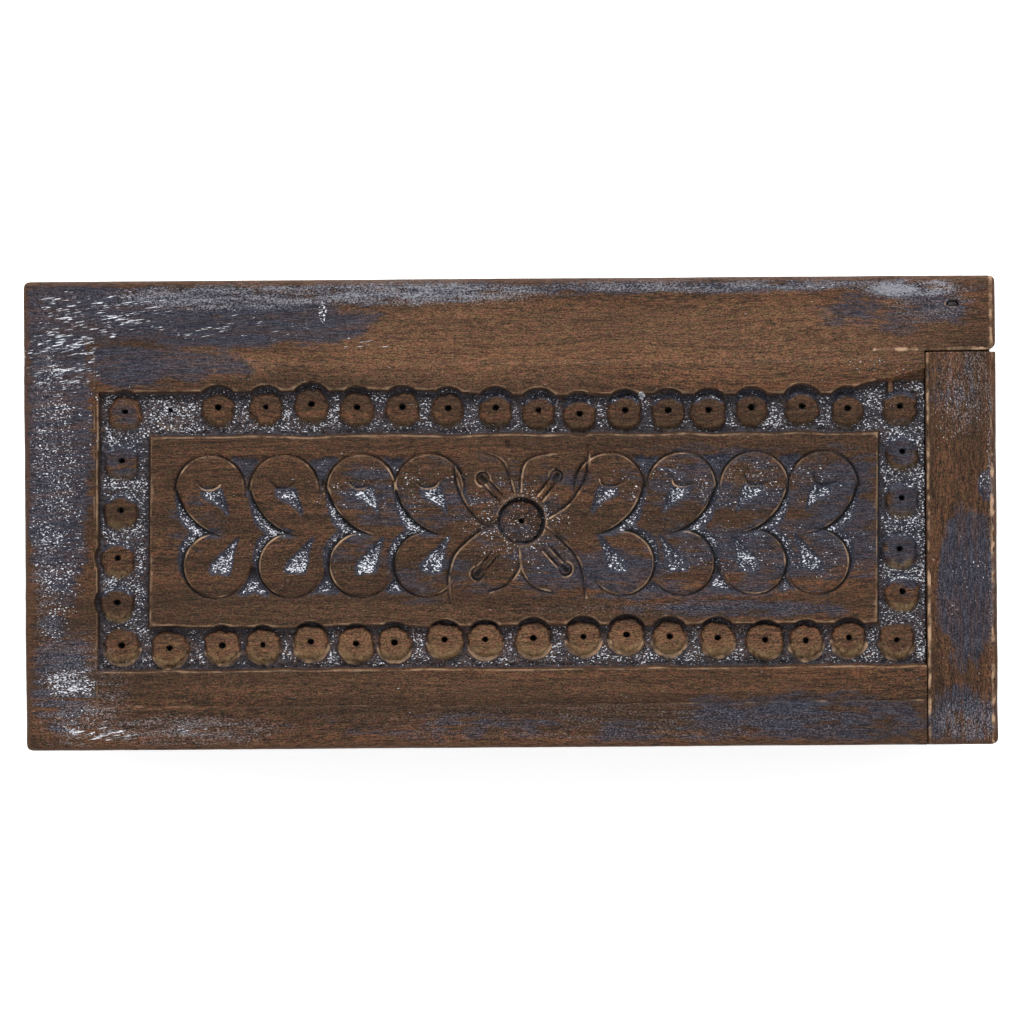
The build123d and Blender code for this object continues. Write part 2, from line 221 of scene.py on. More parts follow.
BACK_ROW = [(x, BACK_ROW_Y + rise) for x, rise in zip(BACK_X, BACK_RISES)]
FRONT_ROW = [(x, FRONT_ROW_Y + rise) for x, rise in zip(FRONT_X, FRONT_RISES)]
ROSETTES = BACK_ROW + FRONT_ROW + list(LEFT_COLUMN) + list(RIGHT_COLUMN)


def in_front_row(y):
    return y < -20


def drop(y):
    """How far the button at that y stands in front of its drilled hole."""
    return FRONT_DROP if in_front_row(y) else BUTTON_DROP


def border(wobble):
    """How far each place is inside the sunk border, in millimetres, before the rosettes."""
    lean = 0.012 * Y                # the two columns lean a little
    outer_back = BORDER_BACK - 1.2 * smoothstep(-25, 5, X) + 0.2 * wobble + np.clip(X - 68, 0, 9) * 0.3
    outer = np.minimum.reduce([
        X - BORDER_LEFT - lean + 0.15 * wobble,
        outer_back - Y,
        Y - BORDER_FRONT + 0.2 * wobble,
    ])
    inner = np.maximum.reduce([
        PANEL_LEFT + lean - X,
        X - PANEL_RIGHT - lean,
        Y - PANEL_BACK + 0.25 * wobble,
        PANEL_FRONT - Y + 0.3 * wobble,
    ])
    return np.minimum(outer, inner)


def cut_border(field):
    """Sinks the border, leaves the buttons standing in it and drills their centres."""
    wobble = rough(1, 6, 6)
    inside = border(wobble)
    floor = BORDER_DEPTH - 0.3 + 0.25 * rough(2, 1.3, 1.0) + 0.18 * rough(3, 0.6, 0.5)
    inside_cutter = inside.copy()
    rng = np.random.default_rng(SEED + 7)
    buttons = []
    for number, (x, y) in enumerate(ROSETTES):
        reach = CUTTER + rng.uniform(-0.15, 0.2)
        away = np.hypot(X - x, Y - y)
        reach -= 1.0 if number == UNCUT else 0.25 * in_front_row(y)
        inside_cutter = np.maximum(inside_cutter, (reach - away) * (Y < ARM_FRONT - 2))
        grow = rng.uniform(-0.15, 0.2)
        turn = rng.uniform(0, 2 * math.pi)
        square = rng.uniform(2.3, 3.0)
        buttons.append((x, y, grow, turn, square))
    depth = floor * smoothstep(-0.12, 0.45, inside_cutter)
    shelf_back = SHELF_BACK + 0.28 * (X - SHELF_LEFT)
    shelf = smoothstep(-0.1, 0.3, np.minimum(X - SHELF_LEFT, shelf_back - Y))
    depth = np.maximum(depth, 1.1 * shelf * (Y > 20))
    for number, (x, y, grow, turn, square) in enumerate(buttons):
        if number != UNCUT:
            depth = stand_button(depth, x, y - drop(y), BUTTON + grow, turn, square)
    sliver = smoothstep(0.1, -0.25, np.abs(X - SLIVER_X) - 0.75) * (Y > 24.5) * (Y < 29.5)
    depth = depth * (1 - sliver) + np.minimum(depth, 0.95) * sliver
    field[:] = np.maximum(field, depth)
    for number, (x, y) in enumerate(ROSETTES):
        drill(field, x, y, HOLE if number != UNCUT else UNCUT_HOLE)


def stand_button(depth, x, y, radius, turn, square):
    """Leaves a round button standing in the cut, a little square, with torn fibres in front."""
    dx, dy = X - x, Y - y
    near = (np.abs(dx) < 6) & (np.abs(dy) < 6)
    u, v = np.abs(dx[near]), np.abs(dy[near])
    away = (u**square + v**square) ** (1 / square)
    angle = np.arctan2(dy[near], dx[near])
    away = away * (1 + 0.035 * np.cos(3 * angle + turn) + 0.02 * np.cos(7 * angle - turn))
    away = away + (0.22 * chipped + 0.15 * splintered)[near]
    low_side = smoothstep(0.2, 0.9, -dy[near] / np.maximum(np.hypot(dx[near], dy[near]), 0.1))
    torn = 0.16 * low_side * np.cos(dx[near] * 10 + 3 * turn) * smoothstep(1.8, 2.8, away)
    crown = 1.0 + 0.12 * (away / radius) ** 2 - 0.04 * dy[near] + torn + 0.10 * splintered[near]
    crown -= FRONT_PROUD * in_front_row(y)
    flank = smoothstep(radius - (0.5 if in_front_row(y) else 0.8) - 0.8 * low_side, radius + 0.3, away)
    button = crown * (1 - flank) + (BORDER_DEPTH + 0.15) * flank
    depth[near] = np.where(away < radius + 0.4, np.minimum(depth[near], button), depth[near])
    return depth


def drill(field, x, y, radius):
    """A blind hole with a slightly ragged rim."""
    away = np.hypot(X - x, Y - y) + 0.12 * chipped
    field[:] = np.maximum(field, HOLE_DEPTH * smoothstep(radius + 0.12, radius - 0.12, away))


# ---- Leaf panel ---------------------------------------------------------------------------
groove_shade_lines = np.zeros_like(X)        # painted shade at the foot of each stop cut
rubbed_lines = np.zeros_like(X)      # bare wood on arrises and along the scribed lines
gritty = np.zeros_like(X)            # white paint left in the hollows
UPPER_LEAVES = (-62.7, -47.3, -31.2, -17.0, 20.6, 35.7, 50.9, 65.3)
LOWER_LEAVES = (-61.7, -46.0, -31.3, -17.7, 23.1, 35.7, 50.7, 63.9)
UPPER_Y, LOWER_Y = 5.2, -10.6
UPPER_HEAD, LOWER_HEAD = 7.3, 6.8
SWEEP_RADIUS, SWEEP_IN, SWEEP_UP = 12.5, 5.3, 2.5
CORE = 0.4                      # how far the leaf's side of a stop cut slopes


def leaf_parts(x, upper):
    """Returns a function from leaf coordinates, +X towards the panel's centre, to the lid's."""
    inward = 1 if x < 0 else -1
    level = UPPER_Y if upper else LOWER_Y

    def place(line):
        line = np.asarray(line, float)
        placed = np.column_stack([x + inward * line[:, 0], level + line[:, 1]])
        return placed if inward > 0 else placed[::-1]

    return place, inward


def mirrored(values, inward):
    """A profile along a cut, turned round where place() turns the cut round."""
    values = np.atleast_1d(np.asarray(values, float))
    return values if inward > 0 else values[::-1]


def cut_line(field, place, inward, line, outside, deep, inside=CORE):
    """A leaf's outline: steep on the leaf's side and sloped on the ground's. Runs anticlockwise."""
    outside, inside, deep = (mirrored(v, inward) for v in (outside, inside, deep))
    line = place(line)
    gouge(field, line, inside, outside, deep)
    # Painted shade along the foot of the cut
    gouge(groove_shade_lines, beside(line, -0.1), 0.42, 0.42, deep * 1.2)
    gouge(rubbed_lines, beside(line, 0.3), 0.3, 0.3, np.sqrt(deep), 1.3)
    left_over = np.clip(1.25 * outside - 0.5, 0, 1.3 if inward > 0 else 1.1)
    gouge(gritty, line, 0.02, outside * 1.1, left_over, 3)


def beside(line, offset):
    """The line moved that far to its left."""
    tangent = np.gradient(line, axis=0)
    tangent /= np.maximum(np.hypot(*tangent.T), 1e-9)[:, None]
    return line + offset * np.column_stack([-tangent[:, 1], tangent[:, 0]])


def cut_upper_leaf(field, x):
    """A leaf of the back row: its head, the sweep down from it, a small curl and a hollow."""
    place, inward = leaf_parts(x, True)
    head = arc((0, 0), UPPER_HEAD, -12, 180)
    sweep = arc((SWEEP_IN, SWEEP_UP), SWEEP_RADIUS, 191, 265)
    cut_line(field, place, inward, head,
             (0.8, 0.7, 0.55, 0.5, 0.55, 0.6), (0.4, 1.0, 0.7, 0.45, 0.8, 1.0))
    cut_line(field, place, inward, sweep, (0.6, 1.3, 2.4, 2.3, 1.0, 0.3), (1.0, 1.2, 1.3, 1.2, 0.8, 0.2))
    lean, bright = 0.55 * math.sin(7 * x), 0.75 + 0.25 * math.sin(5 * x)
    smile = curve((-2.9, 1.4 + lean), (-1.5, 0.5), (0.3, 0.35), (1.6, 0.9), (2.1, 1.9 - lean))
    gouge(field, place(smile), 0.4, 0.4, mirrored((0.3, 0.8, 0.8, 0.4), inward))
    # Painted shade in the smile's cut
    gouge(groove_shade_lines, place(smile), 0.35, 0.35, 0.8)
    low_side = place(smile + (0, -0.35))
    gouge(rubbed_lines, low_side, 0.35, 0.35, mirrored((0.4 * bright, bright, bright, 0.8), inward), 1.3)
    cut_hollow(field, place, inward, curve((3.9, -5.6), (2.4, -2.8), (0.4, -0.4)),
               (0.1, 0.6, 1.1, 1.8, 2.6), (0.2, 0.7, 1.0, 1.1, 0.8), (-9, UPPER_Y + 0.5))


def cut_lower_leaf(field, x):
    """A leaf of the front row: its head and a hollow that points at the leaf behind."""
    place, inward = leaf_parts(x, False)
    head = arc((0, 0), LOWER_HEAD, 78, 338, 36)
    outside = (0.5, 1.4, 1.9, 1.2, 0.6, 0.5, 0.5, 0.55, 0.4)
    cut_line(field, place, inward, head, outside, (0.3, 1.0, 1.2, 1.1, 1.0, 0.8, 0.5, 0.7, 0.35))
    cut_hollow(field, place, inward, curve((4.9, 6.0), (2.8, 2.6), (1.0, -0.9)),
               (0.1, 0.6, 1.0, 1.6, 2.2, 2.6), (0.2, 0.7, 0.9, 0.9, 0.7, 0.4), (LOWER_Y - 1.9, 9))


def cut_hollow(field, place, inward, line, widths, deep, ends):
    """A three-cornered chip, which starts as a point and widens, kept between two heights."""
    widths, deep = mirrored(widths, inward), mirrored(deep, inward)
    chip, grit = np.zeros_like(X), np.zeros_like(X)
    gouge(chip, place(line), widths, widths, deep)
    left_over = 1.25 if inward > 0 else 1.1
    gouge(grit, place(line), widths * 1.05, widths * 1.05, left_over, 3)
    height = Y + 0.35 * chipped
    low, high = ends
    inside = smoothstep(low - 0.3, low + 0.3, height) * smoothstep(high + 0.3, high - 0.3, height)
    np.maximum(field, chip * inside, out=field)
    np.maximum(gritty, grit * inside, out=gritty)


def cut_between(field, leaves, level, head, side, paint):
    """The three-cornered chips cut out between neighbouring heads, bounded by their arcs."""
    for a, b in zip(leaves, leaves[1:]):
        if abs(b - a) < 20:
            clear = np.minimum(np.hypot(X - a, Y - level), np.hypot(X - b, Y - level)) - head
            out = side * (Y - level)
            chip = (smoothstep(0.1, 0.9, clear) * smoothstep(head - 0.2, head - 1.4, out + 0.5 * chipped)
                    * smoothstep(-0.5, 1.0, out) * (X > a) * (X < b))
            field[:] = np.maximum(field, chip * (1.3 - 0.1 * out))
            gritty[:] = np.maximum(gritty, chip * paint * smoothstep(0.5, 3.5, out))
            # Painted shade in the chip, strongest close to the heads' line
            groove_shade_lines[:] = np.maximum(groove_shade_lines, 0.8 * chip * smoothstep(4.0, 1.0, out))


STAMENS = ((-5.8, 7.2), (9.6, 7.6), (-7.0, -12.6), (11.3, -11.8))
BOUNDARIES = (
    ((-11.9, 11.6), (-11.4, 7.1), (-10.2, 3.3), (-8.3, 0.2), (-5.6, -2.3), (-2.9, -2.9)),
    ((16.3, 14.0), (15.9, 7.9), (13.8, 4.0), (11.5, 1.3), (8.0, -0.9)),
    ((-3.3, -2.9), (-5.8, -3.4), (-8.9, -5.6), (-12.0, -9.0), (-13.2, -14.2), (-12.7, -19.0)),
    ((7.4, -3.2), (11.1, -6.3), (13.8, -9.6), (15.0, -13.3), (15.4, -18.0)),
)
PETALS = (
    ((-7.6, 12.8), (-3.2, 11.8), (-1.0, 9.6), (0.6, 4.2)),
    ((9.6, 12.6), (4.6, 11.6), (2.5, 9.4), (1.9, 4.4)),
    ((1.4, -7.2), (1.7, -11.3), (-1.0, -15.0), (-4.6, -16.4)),
    ((1.4, -7.2), (2.0, -11.8), (4.4, -15.4), (8.6, -16.8)),
)


def cut_vein(field, line, width, deep):
    """A plain V line, with painted shade in its foot and rubbed beside it."""
    gouge(field, line, width, width, deep)
    gouge(groove_shade_lines, beside(line, -0.1), 0.38, 0.38, np.array(deep))
    gouge(rubbed_lines, beside(line, 0.3), 0.33, 0.33, 1.0, 1.3)


def cut_centre(field):
    """The flower: four petals with their stamens, round a rosette in a ring."""
    x, y = CENTRE_ROSETTE
    for line in BOUNDARIES:
        cut_vein(field, curve(*line), 0.6, (0.5, 1.0, 1.0, 0.9, 0.6))
    for line in PETALS:
        cut_vein(field, curve(*line), 0.5, (0.4, 0.7, 0.8, 0.7))
    for sx, sy in STAMENS:
        toward = np.array([x - sx, y - sy])
        toward /= np.hypot(*toward)
        side = np.array([-toward[1], toward[0]])
        head = np.array([sx, sy])
        outward = math.degrees(math.atan2(-toward[1], -toward[0]))
        cut_vein(field, arc((sx, sy), 1.35, outward + 130, outward - 130), 0.55, (0.6, 1.1, 0.6))
        gouge(field, [head - 0.4 * toward, head + 0.8 * toward], 0.8, 0.8, (1.1, 0.7))
        # Painted shade in the stamen's pit
        gouge(groove_shade_lines, [head - 0.4 * toward, head + 0.8 * toward], 0.8, 0.8, 1.2)
        for offset in (-0.75, 0.75):
            start = head + toward * 1.3 + side * offset
            cut_vein(field, np.array([start, start + toward * 4.6]), 0.5, (0.7, 1.0, 0.6))
    away = np.hypot(X - x, Y - y)
    button = np.hypot(X - x + 0.3, Y - y + 0.25) + 0.12 * chipped
    ring = 1.9 * smoothstep(5.05, 4.75, away)
    inner = 1.2 + 0.7 * smoothstep(4.25, 4.55, button) + 0.2 * chipped + 0.16 * splintered
    field[:] = np.maximum(field, np.minimum(ring, inner) * (away < 5.3))
    # Painted shade round the foot of the ring and just inside it
    foot = smoothstep(5.0, 4.8, away) * smoothstep(4.3, 4.6, button)
    np.maximum(groove_shade_lines, 0.62 * foot, out=groove_shade_lines)
    np.maximum(groove_shade_lines, 0.5 * smoothstep(4.4, 4.0, away) * (0.5 + 0.7 * chipped), out=groove_shade_lines)
    np.maximum(rubbed_lines, 0.8 * smoothstep(0.4, 0.8, splintered) * (button < 4.1), out=rubbed_lines)
    gouge(field, [(x - 5.4, y - 0.4), (x - 4.2, y - 0.6)], 0.5, 0.5, 1.2)
    drill(field, x, y, HOLE)
    gouge(field, [(-0.6, 14.9), (-0.5, 13.8)], 0.6, 0.6, (0.5, 0.9))


def cut_panel(field):
    for x in UPPER_LEAVES:
        cut_upper_leaf(field, x)
    for x in LOWER_LEAVES:
        cut_lower_leaf(field, x)
    cut_between(field, UPPER_LEAVES, UPPER_Y, UPPER_HEAD, 1, 0.85)
    cut_between(field, LOWER_LEAVES, LOWER_Y, LOWER_HEAD, -1, 1.15)
    cut_centre(field)


GAUGE_LINES = (
    ((-86.7, 33.4), (-86.9, 0), (-86.6, -39.6)),
    ((-88, -39.8), (0, -40.1), (86.0, -39.6)),
    ((70, 33.2), (86.2, 33.5)),
    ((-86.6, 33.3), (-60, 33.2)),
)


def scribe(field):
    """The maker's gauge lines round the carving, the back one in line with the arm's seam."""
    for line in GAUGE_LINES:
        faint = 0.14 if line[0][1] > 33 and line[-1][1] > 30 else 0.32
        gouge(field, curve(*line), 0.3, 0.3, 1.2 * faint)
        gouge(rubbed_lines, curve(*line), 0.5, 0.5, 2.1 * faint)
    gouge(field, [(-87.4, 33.9), (-84.2, 33.5)], 0.5, 0.5, 0.5)
    gouge(field, [(-86.4, -39.9), (-82.4, -39.9)], 0.3, 0.45, 0.5)


# ---- Outer edges ---------------------------------------------------------------------------
def edge_distance():
    """How far each place is from the lid's outer rim, and from its seams with the key."""
    rim = np.minimum.reduce([X - LEFT, RIGHT - X, BACK - Y, Y - FRONT])
    in_arm = Y > ARM_FRONT
    end_seam = np.where(in_arm, 99.0, LID_END - X)
    arm_seam = np.where(X > LID_END, Y - ARM_FRONT, np.hypot(np.maximum(LID_END - X, 0), Y - ARM_FRONT))
    return rim, np.minimum(end_seam, np.where(in_arm, arm_seam, 99.0))


def eased(distance, radius):
    """How far a quarter-round edge drops at that distance from the side."""
    inside = np.clip(radius - distance, 0, radius)
    return radius - np.sqrt(np.maximum(radius**2 - inside**2, 0))


def rub_rims():
    """The rubbed line just inside the lid's and the key's right edges, and along the arm's seam."""
    edge = np.abs(RIGHT - X - 1.1 + 0.25 * chipped)
    seam_line = np.abs(Y - ARM_FRONT - 0.4) + 9 * (X < 76)
    key_line = np.abs(X - KEY_LEFT - 0.4) + 9 * (Y > KEY_BACK)
    line = np.minimum.reduce([edge, seam_line, key_line])
    rubbed = 0.95 * smoothstep(0.5, 0.2, line) * (0.85 + 0.5 * chipped)
    np.maximum(rubbed_lines, rubbed, out=rubbed_lines)


def relief():
    """The lid's whole depth field, and the masks that its material reads."""
    carved = np.zeros_like(X)
    cut_panel(carved)
    cut_border(carved)
    scribe(carved)
    rub_rims()
    pit = np.hypot((X - PIVOT[0]) / 1.25, (Y - PIVOT[1]) / 0.5)
    carved = np.maximum(carved, 2.0 * smoothstep(1.15, 0.85, pit))
    # Painted shade in the nail's pit
    np.maximum(groove_shade_lines, 1.2 * smoothstep(1.2, 0.9, pit), out=groove_shade_lines)
    np.maximum(rubbed_lines, 0.6 * smoothstep(0.35, 0.1, np.abs(pit - 1.4)), out=rubbed_lines)
    worn_flat = 0.10 * rough(11, 14, 9) + 0.05 * rough(12, 5, 2.2) + 0.03 * rough(13, 2.4, 0.7)
    rim, seam = edge_distance()
    rim_radius = 1.1 + 0.45 * rough(14, 9, 9) + 0.25 * rough(15, 2.5, 2.5)
    depth = np.maximum(carved, 0) + worn_flat + 0.16
    depth += eased(rim, rim_radius) + eased(seam, 0.2 + 0.08 * rough(16, 3, 3))
    return depth, carved


FINE_BLUR = 0.16                # smooths away the raster's own steps


def worn_arrises(field):
    """Where the relief stands out sharply, and so is worn."""
    return np.clip((blurred(field, 0.36) - blurred(field, FINE_BLUR)) * 3.0, 0, 1)


depth, carved = relief()
hollow_mask = np.clip((blurred(depth, FINE_BLUR) - blurred(depth, 1.0)) * 1.6, 0, 1)
cut_mask = np.clip(blurred(carved, 0.25) / BORDER_DEPTH, 0, 1)


def torn_and_lit_mask():
    """Where the buttons' front sides are paler: wood that the cutter tore, and painted light on those sides.
    """
    torn_and_lit = np.zeros_like(X)
    for x, y in ROSETTES:
        away = np.hypot(X - x, Y - y + drop(y))
        from_top = 0.0 if in_front_row(y) else 0.25
        side = smoothstep(from_top, 0.95, -(Y - y + drop(y)) / np.maximum(away, 0.1))
        amount = 0.25 + 0.6 * smoothstep(20, -24, y)
        torn = amount * side * smoothstep(1.7, 2.9, away) * smoothstep(4.0, 3.3, away)
        torn_and_lit = np.maximum(torn_and_lit, torn)
    return torn_and_lit


def on_buttons():
    """One on the standing buttons of the border, whose tops are hardly worn."""
    return np.maximum.reduce([smoothstep(4.3, 3.9, np.hypot(X - x, Y - y + drop(y))) for x, y in ROSETTES])


def paint_scallops():
    """White paint caught on the back slopes of both columns' and half the back row's buttons."""
    for x, y in BACK_ROW[8:] + list(RIGHT_COLUMN) + list(LEFT_COLUMN):
        dx, dy = X - x, Y - y + drop(y)
        away = np.hypot(dx, dy)
        arch = smoothstep(3.1, 3.5, away) * smoothstep(4.3, 4.0, away)
        arch *= smoothstep(0.35, 0.8, dy / (away + 0.01))
        np.maximum(gritty, (1.25 + 0.4 * chipped) * arch, out=gritty)


def rub_front_row():
    """Broken pale arcs in front of the front row's buttons, where the cutter left a thin lip."""
    for x, y in FRONT_ROW:
        dx, dy = X - x, Y - y + drop(y)
        away = np.hypot(dx, dy)
        arch = smoothstep(0.55, 0.25, np.abs(away - BUTTON)) * smoothstep(-0.4, 0.4, -dy / (away + 0.01))
        np.maximum(rubbed_lines, arch * (0.95 + 0.7 * chipped), out=rubbed_lines)


paint_scallops()
rub_front_row()
broken = np.clip(0.78 + 0.5 * rough(34, 2.6, 2.6), 0.25, 1.3)
MASKS = {
    "rim": smoothstep(1.5, 0.6, edge_distance()[0] + 0.4 * chipped),
    "worn": worn_arrises(depth) * (1 - 0.85 * on_buttons()),
    "hollow": hollow_mask,
    "cut": cut_mask,
    # torn wood and painted light on the buttons' front sides
    "torn_and_lit": torn_and_lit_mask(),
    # painted shade in the grooves, the ring and the pit
    "groove_shade": np.clip(groove_shade_lines, 0, 1),
    "rubbed": np.clip(rubbed_lines * broken, 0, 1),
    "grit": np.clip(blurred(gritty, 0.25), 0, 1.5),
}
NO_CARVING = {name: 0 * X for name in MASKS}


# ---- Closed meshes from the relief ----------------------------------------------------------
def spread(low, high, step):
    """Evenly spaced places from low to high, about a step apart."""
    return np.linspace(low, high, max(2, int(round((high - low) / step)) + 1))


def grid_lines(pieces):
    """Grid lines over a few stretches, each a low and high end and a spacing."""
    return np.unique(np.round(np.concatenate([spread(*piece) for piece in pieces]), 4))


def rounded(x, y, corners):
    """Moves grid points so that corners become round.

    Each corner has its x and y, the signs of the way out of it along X and Y, and a radius.
    """
    x, y = x.copy(), y.copy()
    rim = 1.001                     # grid lines have 4 decimals, so the outermost may lie a hair outside
    for cx, cy, sx, sy, radius in corners:
        ax, ay = cx - sx * radius, cy - sy * radius
        u, v = (x - ax) * sx / radius, (y - ay) * sy / radius
        near = (u > 1e-6) & (v > 1e-6) & (u <= rim) & (v <= rim)
        size = np.maximum(u, v) / np.maximum(np.hypot(u, v), 1e-9)
        x[near] = (ax + sx * radius * u * size)[near]
        y[near] = (ay + sy * radius * v * size)[near]
    return x, y


def linked(name, data):
    """A new object in the scene."""
    made = bpy.data.objects.new(name, data)
    bpy.context.scene.collection.objects.link(made)
    return made


def piece_from(name, work):
    """A new object from a bmesh, which is used up."""
    mesh = bpy.data.meshes.new(name)
    work.to_mesh(mesh)
    work.free()
    return linked(name, mesh)


def closed_board(name, xs, ys, keep, top, corners, base, ease=0.3):
    """A closed mesh: a grid on top, straight sides, and an eased lower edge round a flat base."""
    gx, gy = np.meshgrid(xs, ys, indexing="ij")
    px, py = rounded(gx, gy, corners)
    mid_x = (xs[:-1, None] + xs[1:, None]) / 2 + 0 * ys[None, :-1]
    mid_y = (ys[None, :-1] + ys[None, 1:]) / 2 + 0 * xs[:-1, None]
    cells = np.argwhere(keep(mid_x, mid_y))
    index = np.arange(gx.size).reshape(gx.shape)
    i, j = cells.T
    quads = np.column_stack([index[i, j], index[i + 1, j], index[i + 1, j + 1], index[i, j + 1]])
    used, quads = np.unique(quads, return_inverse=True)
    quads = quads.reshape(-1, 4)
    x, y = px.ravel()[used], py.ravel()[used]
    z = top(x, y)
    edges = np.vstack([quads[:, [k, (k + 1) % 4]] for k in range(4)])
    forward = {(a, b) for a, b in edges.tolist()}
    rim = {a: b for a, b in forward if (b, a) not in forward}
    loop = [next(iter(rim))]
    while rim[loop[-1]] != loop[0]:
        loop.append(rim[loop[-1]])
    loop = np.array(loop)
    line = np.column_stack([x[loop], y[loop]])
    along_rim = np.roll(line, -1, 0) - np.roll(line, 1, 0)
    inward = np.column_stack([-along_rim[:, 1], along_rim[:, 0]])
    inward /= np.maximum(np.hypot(*inward.T), 1e-9)[:, None]
    count, n = len(used), len(loop)
    upper = np.column_stack([line, np.full(n, base + ease)])
    foot = np.column_stack([line + inward * ease, np.full(n, base)])
    points = np.vstack([np.column_stack([x, y, z]), upper, foot])
    follow = np.roll(np.arange(n), -1)
    walls = np.column_stack([loop, count + np.arange(n), count + follow, loop[follow]])
    ease_faces = np.column_stack([count + np.arange(n), count + n + np.arange(n),
                                  count + n + follow, count + follow])
    faces = quads.tolist() + walls.tolist() + ease_faces.tolist()
    faces.append((count + n + np.arange(n))[::-1].tolist())
    mesh = bpy.data.meshes.new(name)
    mesh.from_pydata((points * MM).tolist(), [], faces)
    mesh.update()
    work = bmesh.new()
    work.from_mesh(mesh)
    bmesh.ops.triangulate(work, faces=[f for f in work.faces if len(f.verts) > 4])
    bmesh.ops.recalc_face_normals(work, faces=work.faces)
    work.to_mesh(mesh)
    work.free()
    return linked(name, mesh)


def solid_block(name, low, high):
    """A plain cutter or tongue between two corners, in millimetres."""
    work = bmesh.new()
    bmesh.ops.create_cube(work, size=1)
    centre, size = (np.array(low) + high) / 2, np.array(high) - low
    for vertex in work.verts:
        vertex.co = Vector((centre + np.array(vertex.co) * size) * MM)
    return piece_from(name, work)


def solid_rod(name, x, y, low, high, radius):
    """A plain upright cylinder, in millimetres."""
    work = bmesh.new()
    bmesh.ops.create_cone(work, cap_ends=True, segments=32, radius1=radius * MM, radius2=radius * MM,
                          depth=(high - low) * MM)
    bmesh.ops.translate(work, vec=Vector((x, y, (low + high) / 2)) * MM, verts=work.verts)
    return piece_from(name, work)


def settle(piece):
    """Applies a piece's modifiers."""
    graph = bpy.context.evaluated_depsgraph_get()
    mesh = bpy.data.meshes.new_from_object(piece.evaluated_get(graph))
    piece.modifiers.clear()
    piece.data = mesh


def join_solid(piece, tool, operation):
    """Adds the tool to the piece or cuts it away, and removes the tool."""
    cut = piece.modifiers.new(operation.lower(), "BOOLEAN")
    cut.operation, cut.object, cut.solver = operation, tool, "MANIFOLD"
    settle(piece)
    bpy.data.objects.remove(tool)


def thin_out(piece, most):
    """Collapses the flattest faces until the piece has at most that many triangles."""
    triangles = sum(len(p.vertices) - 2 for p in piece.data.polygons)
    if triangles > most:
        fewer = piece.modifiers.new("fewer", "DECIMATE")
        fewer.ratio = most / triangles
        settle(piece)


def store_masks(piece, masks):
    """Gives the material its masks. Sides and undersides get none of the carving's."""
    count = len(piece.data.vertices)
    points = np.zeros(count * 3)
    piece.data.vertices.foreach_get("co", points)
    x, y, z = points.reshape(-1, 3).T / MM
    on_top = z > LID_BASE + 6
    for name, mask in masks.items():
        values = np.where(on_top, lookup(mask, x, y), 0)
        attribute = piece.data.attributes.new(name, "FLOAT", "POINT")
        attribute.data.foreach_set("value", values.astype(np.float32))


def shade(piece, degrees=50):
    """Shades the faces smoothly, apart from edges sharper than that."""
    piece.data.polygons.foreach_set("use_smooth", [True] * len(piece.data.polygons))
    piece.data.set_sharp_from_angle(angle=math.radians(degrees))


def make_lid():
    """The carved lid, finest over the carving, with the key's groove and the nail's bore."""
    fine = 0.25
    xs = grid_lines((
        (LEFT, LEFT + 2, 0.25),
        (LEFT + 2, -88, 0.6),
        (-88, LID_END, fine),
        (LID_END, RIGHT - 2, 0.4),
        (RIGHT - 2, RIGHT, 0.25),
    ))
    ys = grid_lines((
        (FRONT, FRONT + 2, 0.25),
        (FRONT + 2, -41, 0.6),
        (-41, -33.2, 0.35),
        (-33.2, 27.2, fine),
        (27.2, ARM_FRONT, 0.4),
        (ARM_FRONT, ARM_FRONT + 1, 0.15),
        (ARM_FRONT + 1, BACK - 2, 0.5),
        (BACK - 2, BACK, 0.25),
    ))
    corners = ((LEFT, FRONT, -1, -1, CORNER), (LEFT, BACK, -1, 1, CORNER),
               (RIGHT, BACK, 1, 1, CORNER), (RIGHT, ARM_FRONT, 1, -1, ARM_CORNER))
    lid = closed_board("carved_lid", xs, ys, lambda x, y: (x < LID_END) | (y > ARM_FRONT),
                       lambda x, y: TOP - lookup(depth, x, y), corners, LID_BASE)
    thin_out(lid, LID_TRIANGLES)
    half = TONGUE_HALF + 0.2
    middle = LID_BASE + TONGUE_RISE
    join_solid(lid, solid_block("groove", (KEY_LEFT - TONGUE_REACH - 0.4, -44, middle - half),
                                (LID_END + 1, ARM_FRONT - 0.05, middle + half)), "DIFFERENCE")
    bore = solid_rod("bore", PIVOT[0], PIVOT[1], LID_BASE - 1, nail_high[2] + 0.05, NAIL_BORE)
    join_solid(lid, bore, "DIFFERENCE")
    store_masks(lid, MASKS)
    shade(lid)
    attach(lid, "lid")
    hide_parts("lid_board")
    return lid


def key_relief():
    """The key's own top: flat, worn, and eased all round."""
    seam = np.minimum(X - KEY_LEFT, KEY_BACK - Y)
    rim = np.minimum(RIGHT - X, Y - FRONT)
    worn = 0.16 + 0.08 * rough(21, 9, 14) + 0.05 * rough(22, 2.2, 5)
    return (worn + eased(rim, 1.2 + 0.45 * rough(23, 9, 9) + 0.3 * rough(24, 2.5, 2.5))
            + eased(seam, 0.2 + 0.08 * rough(25, 3, 3)))


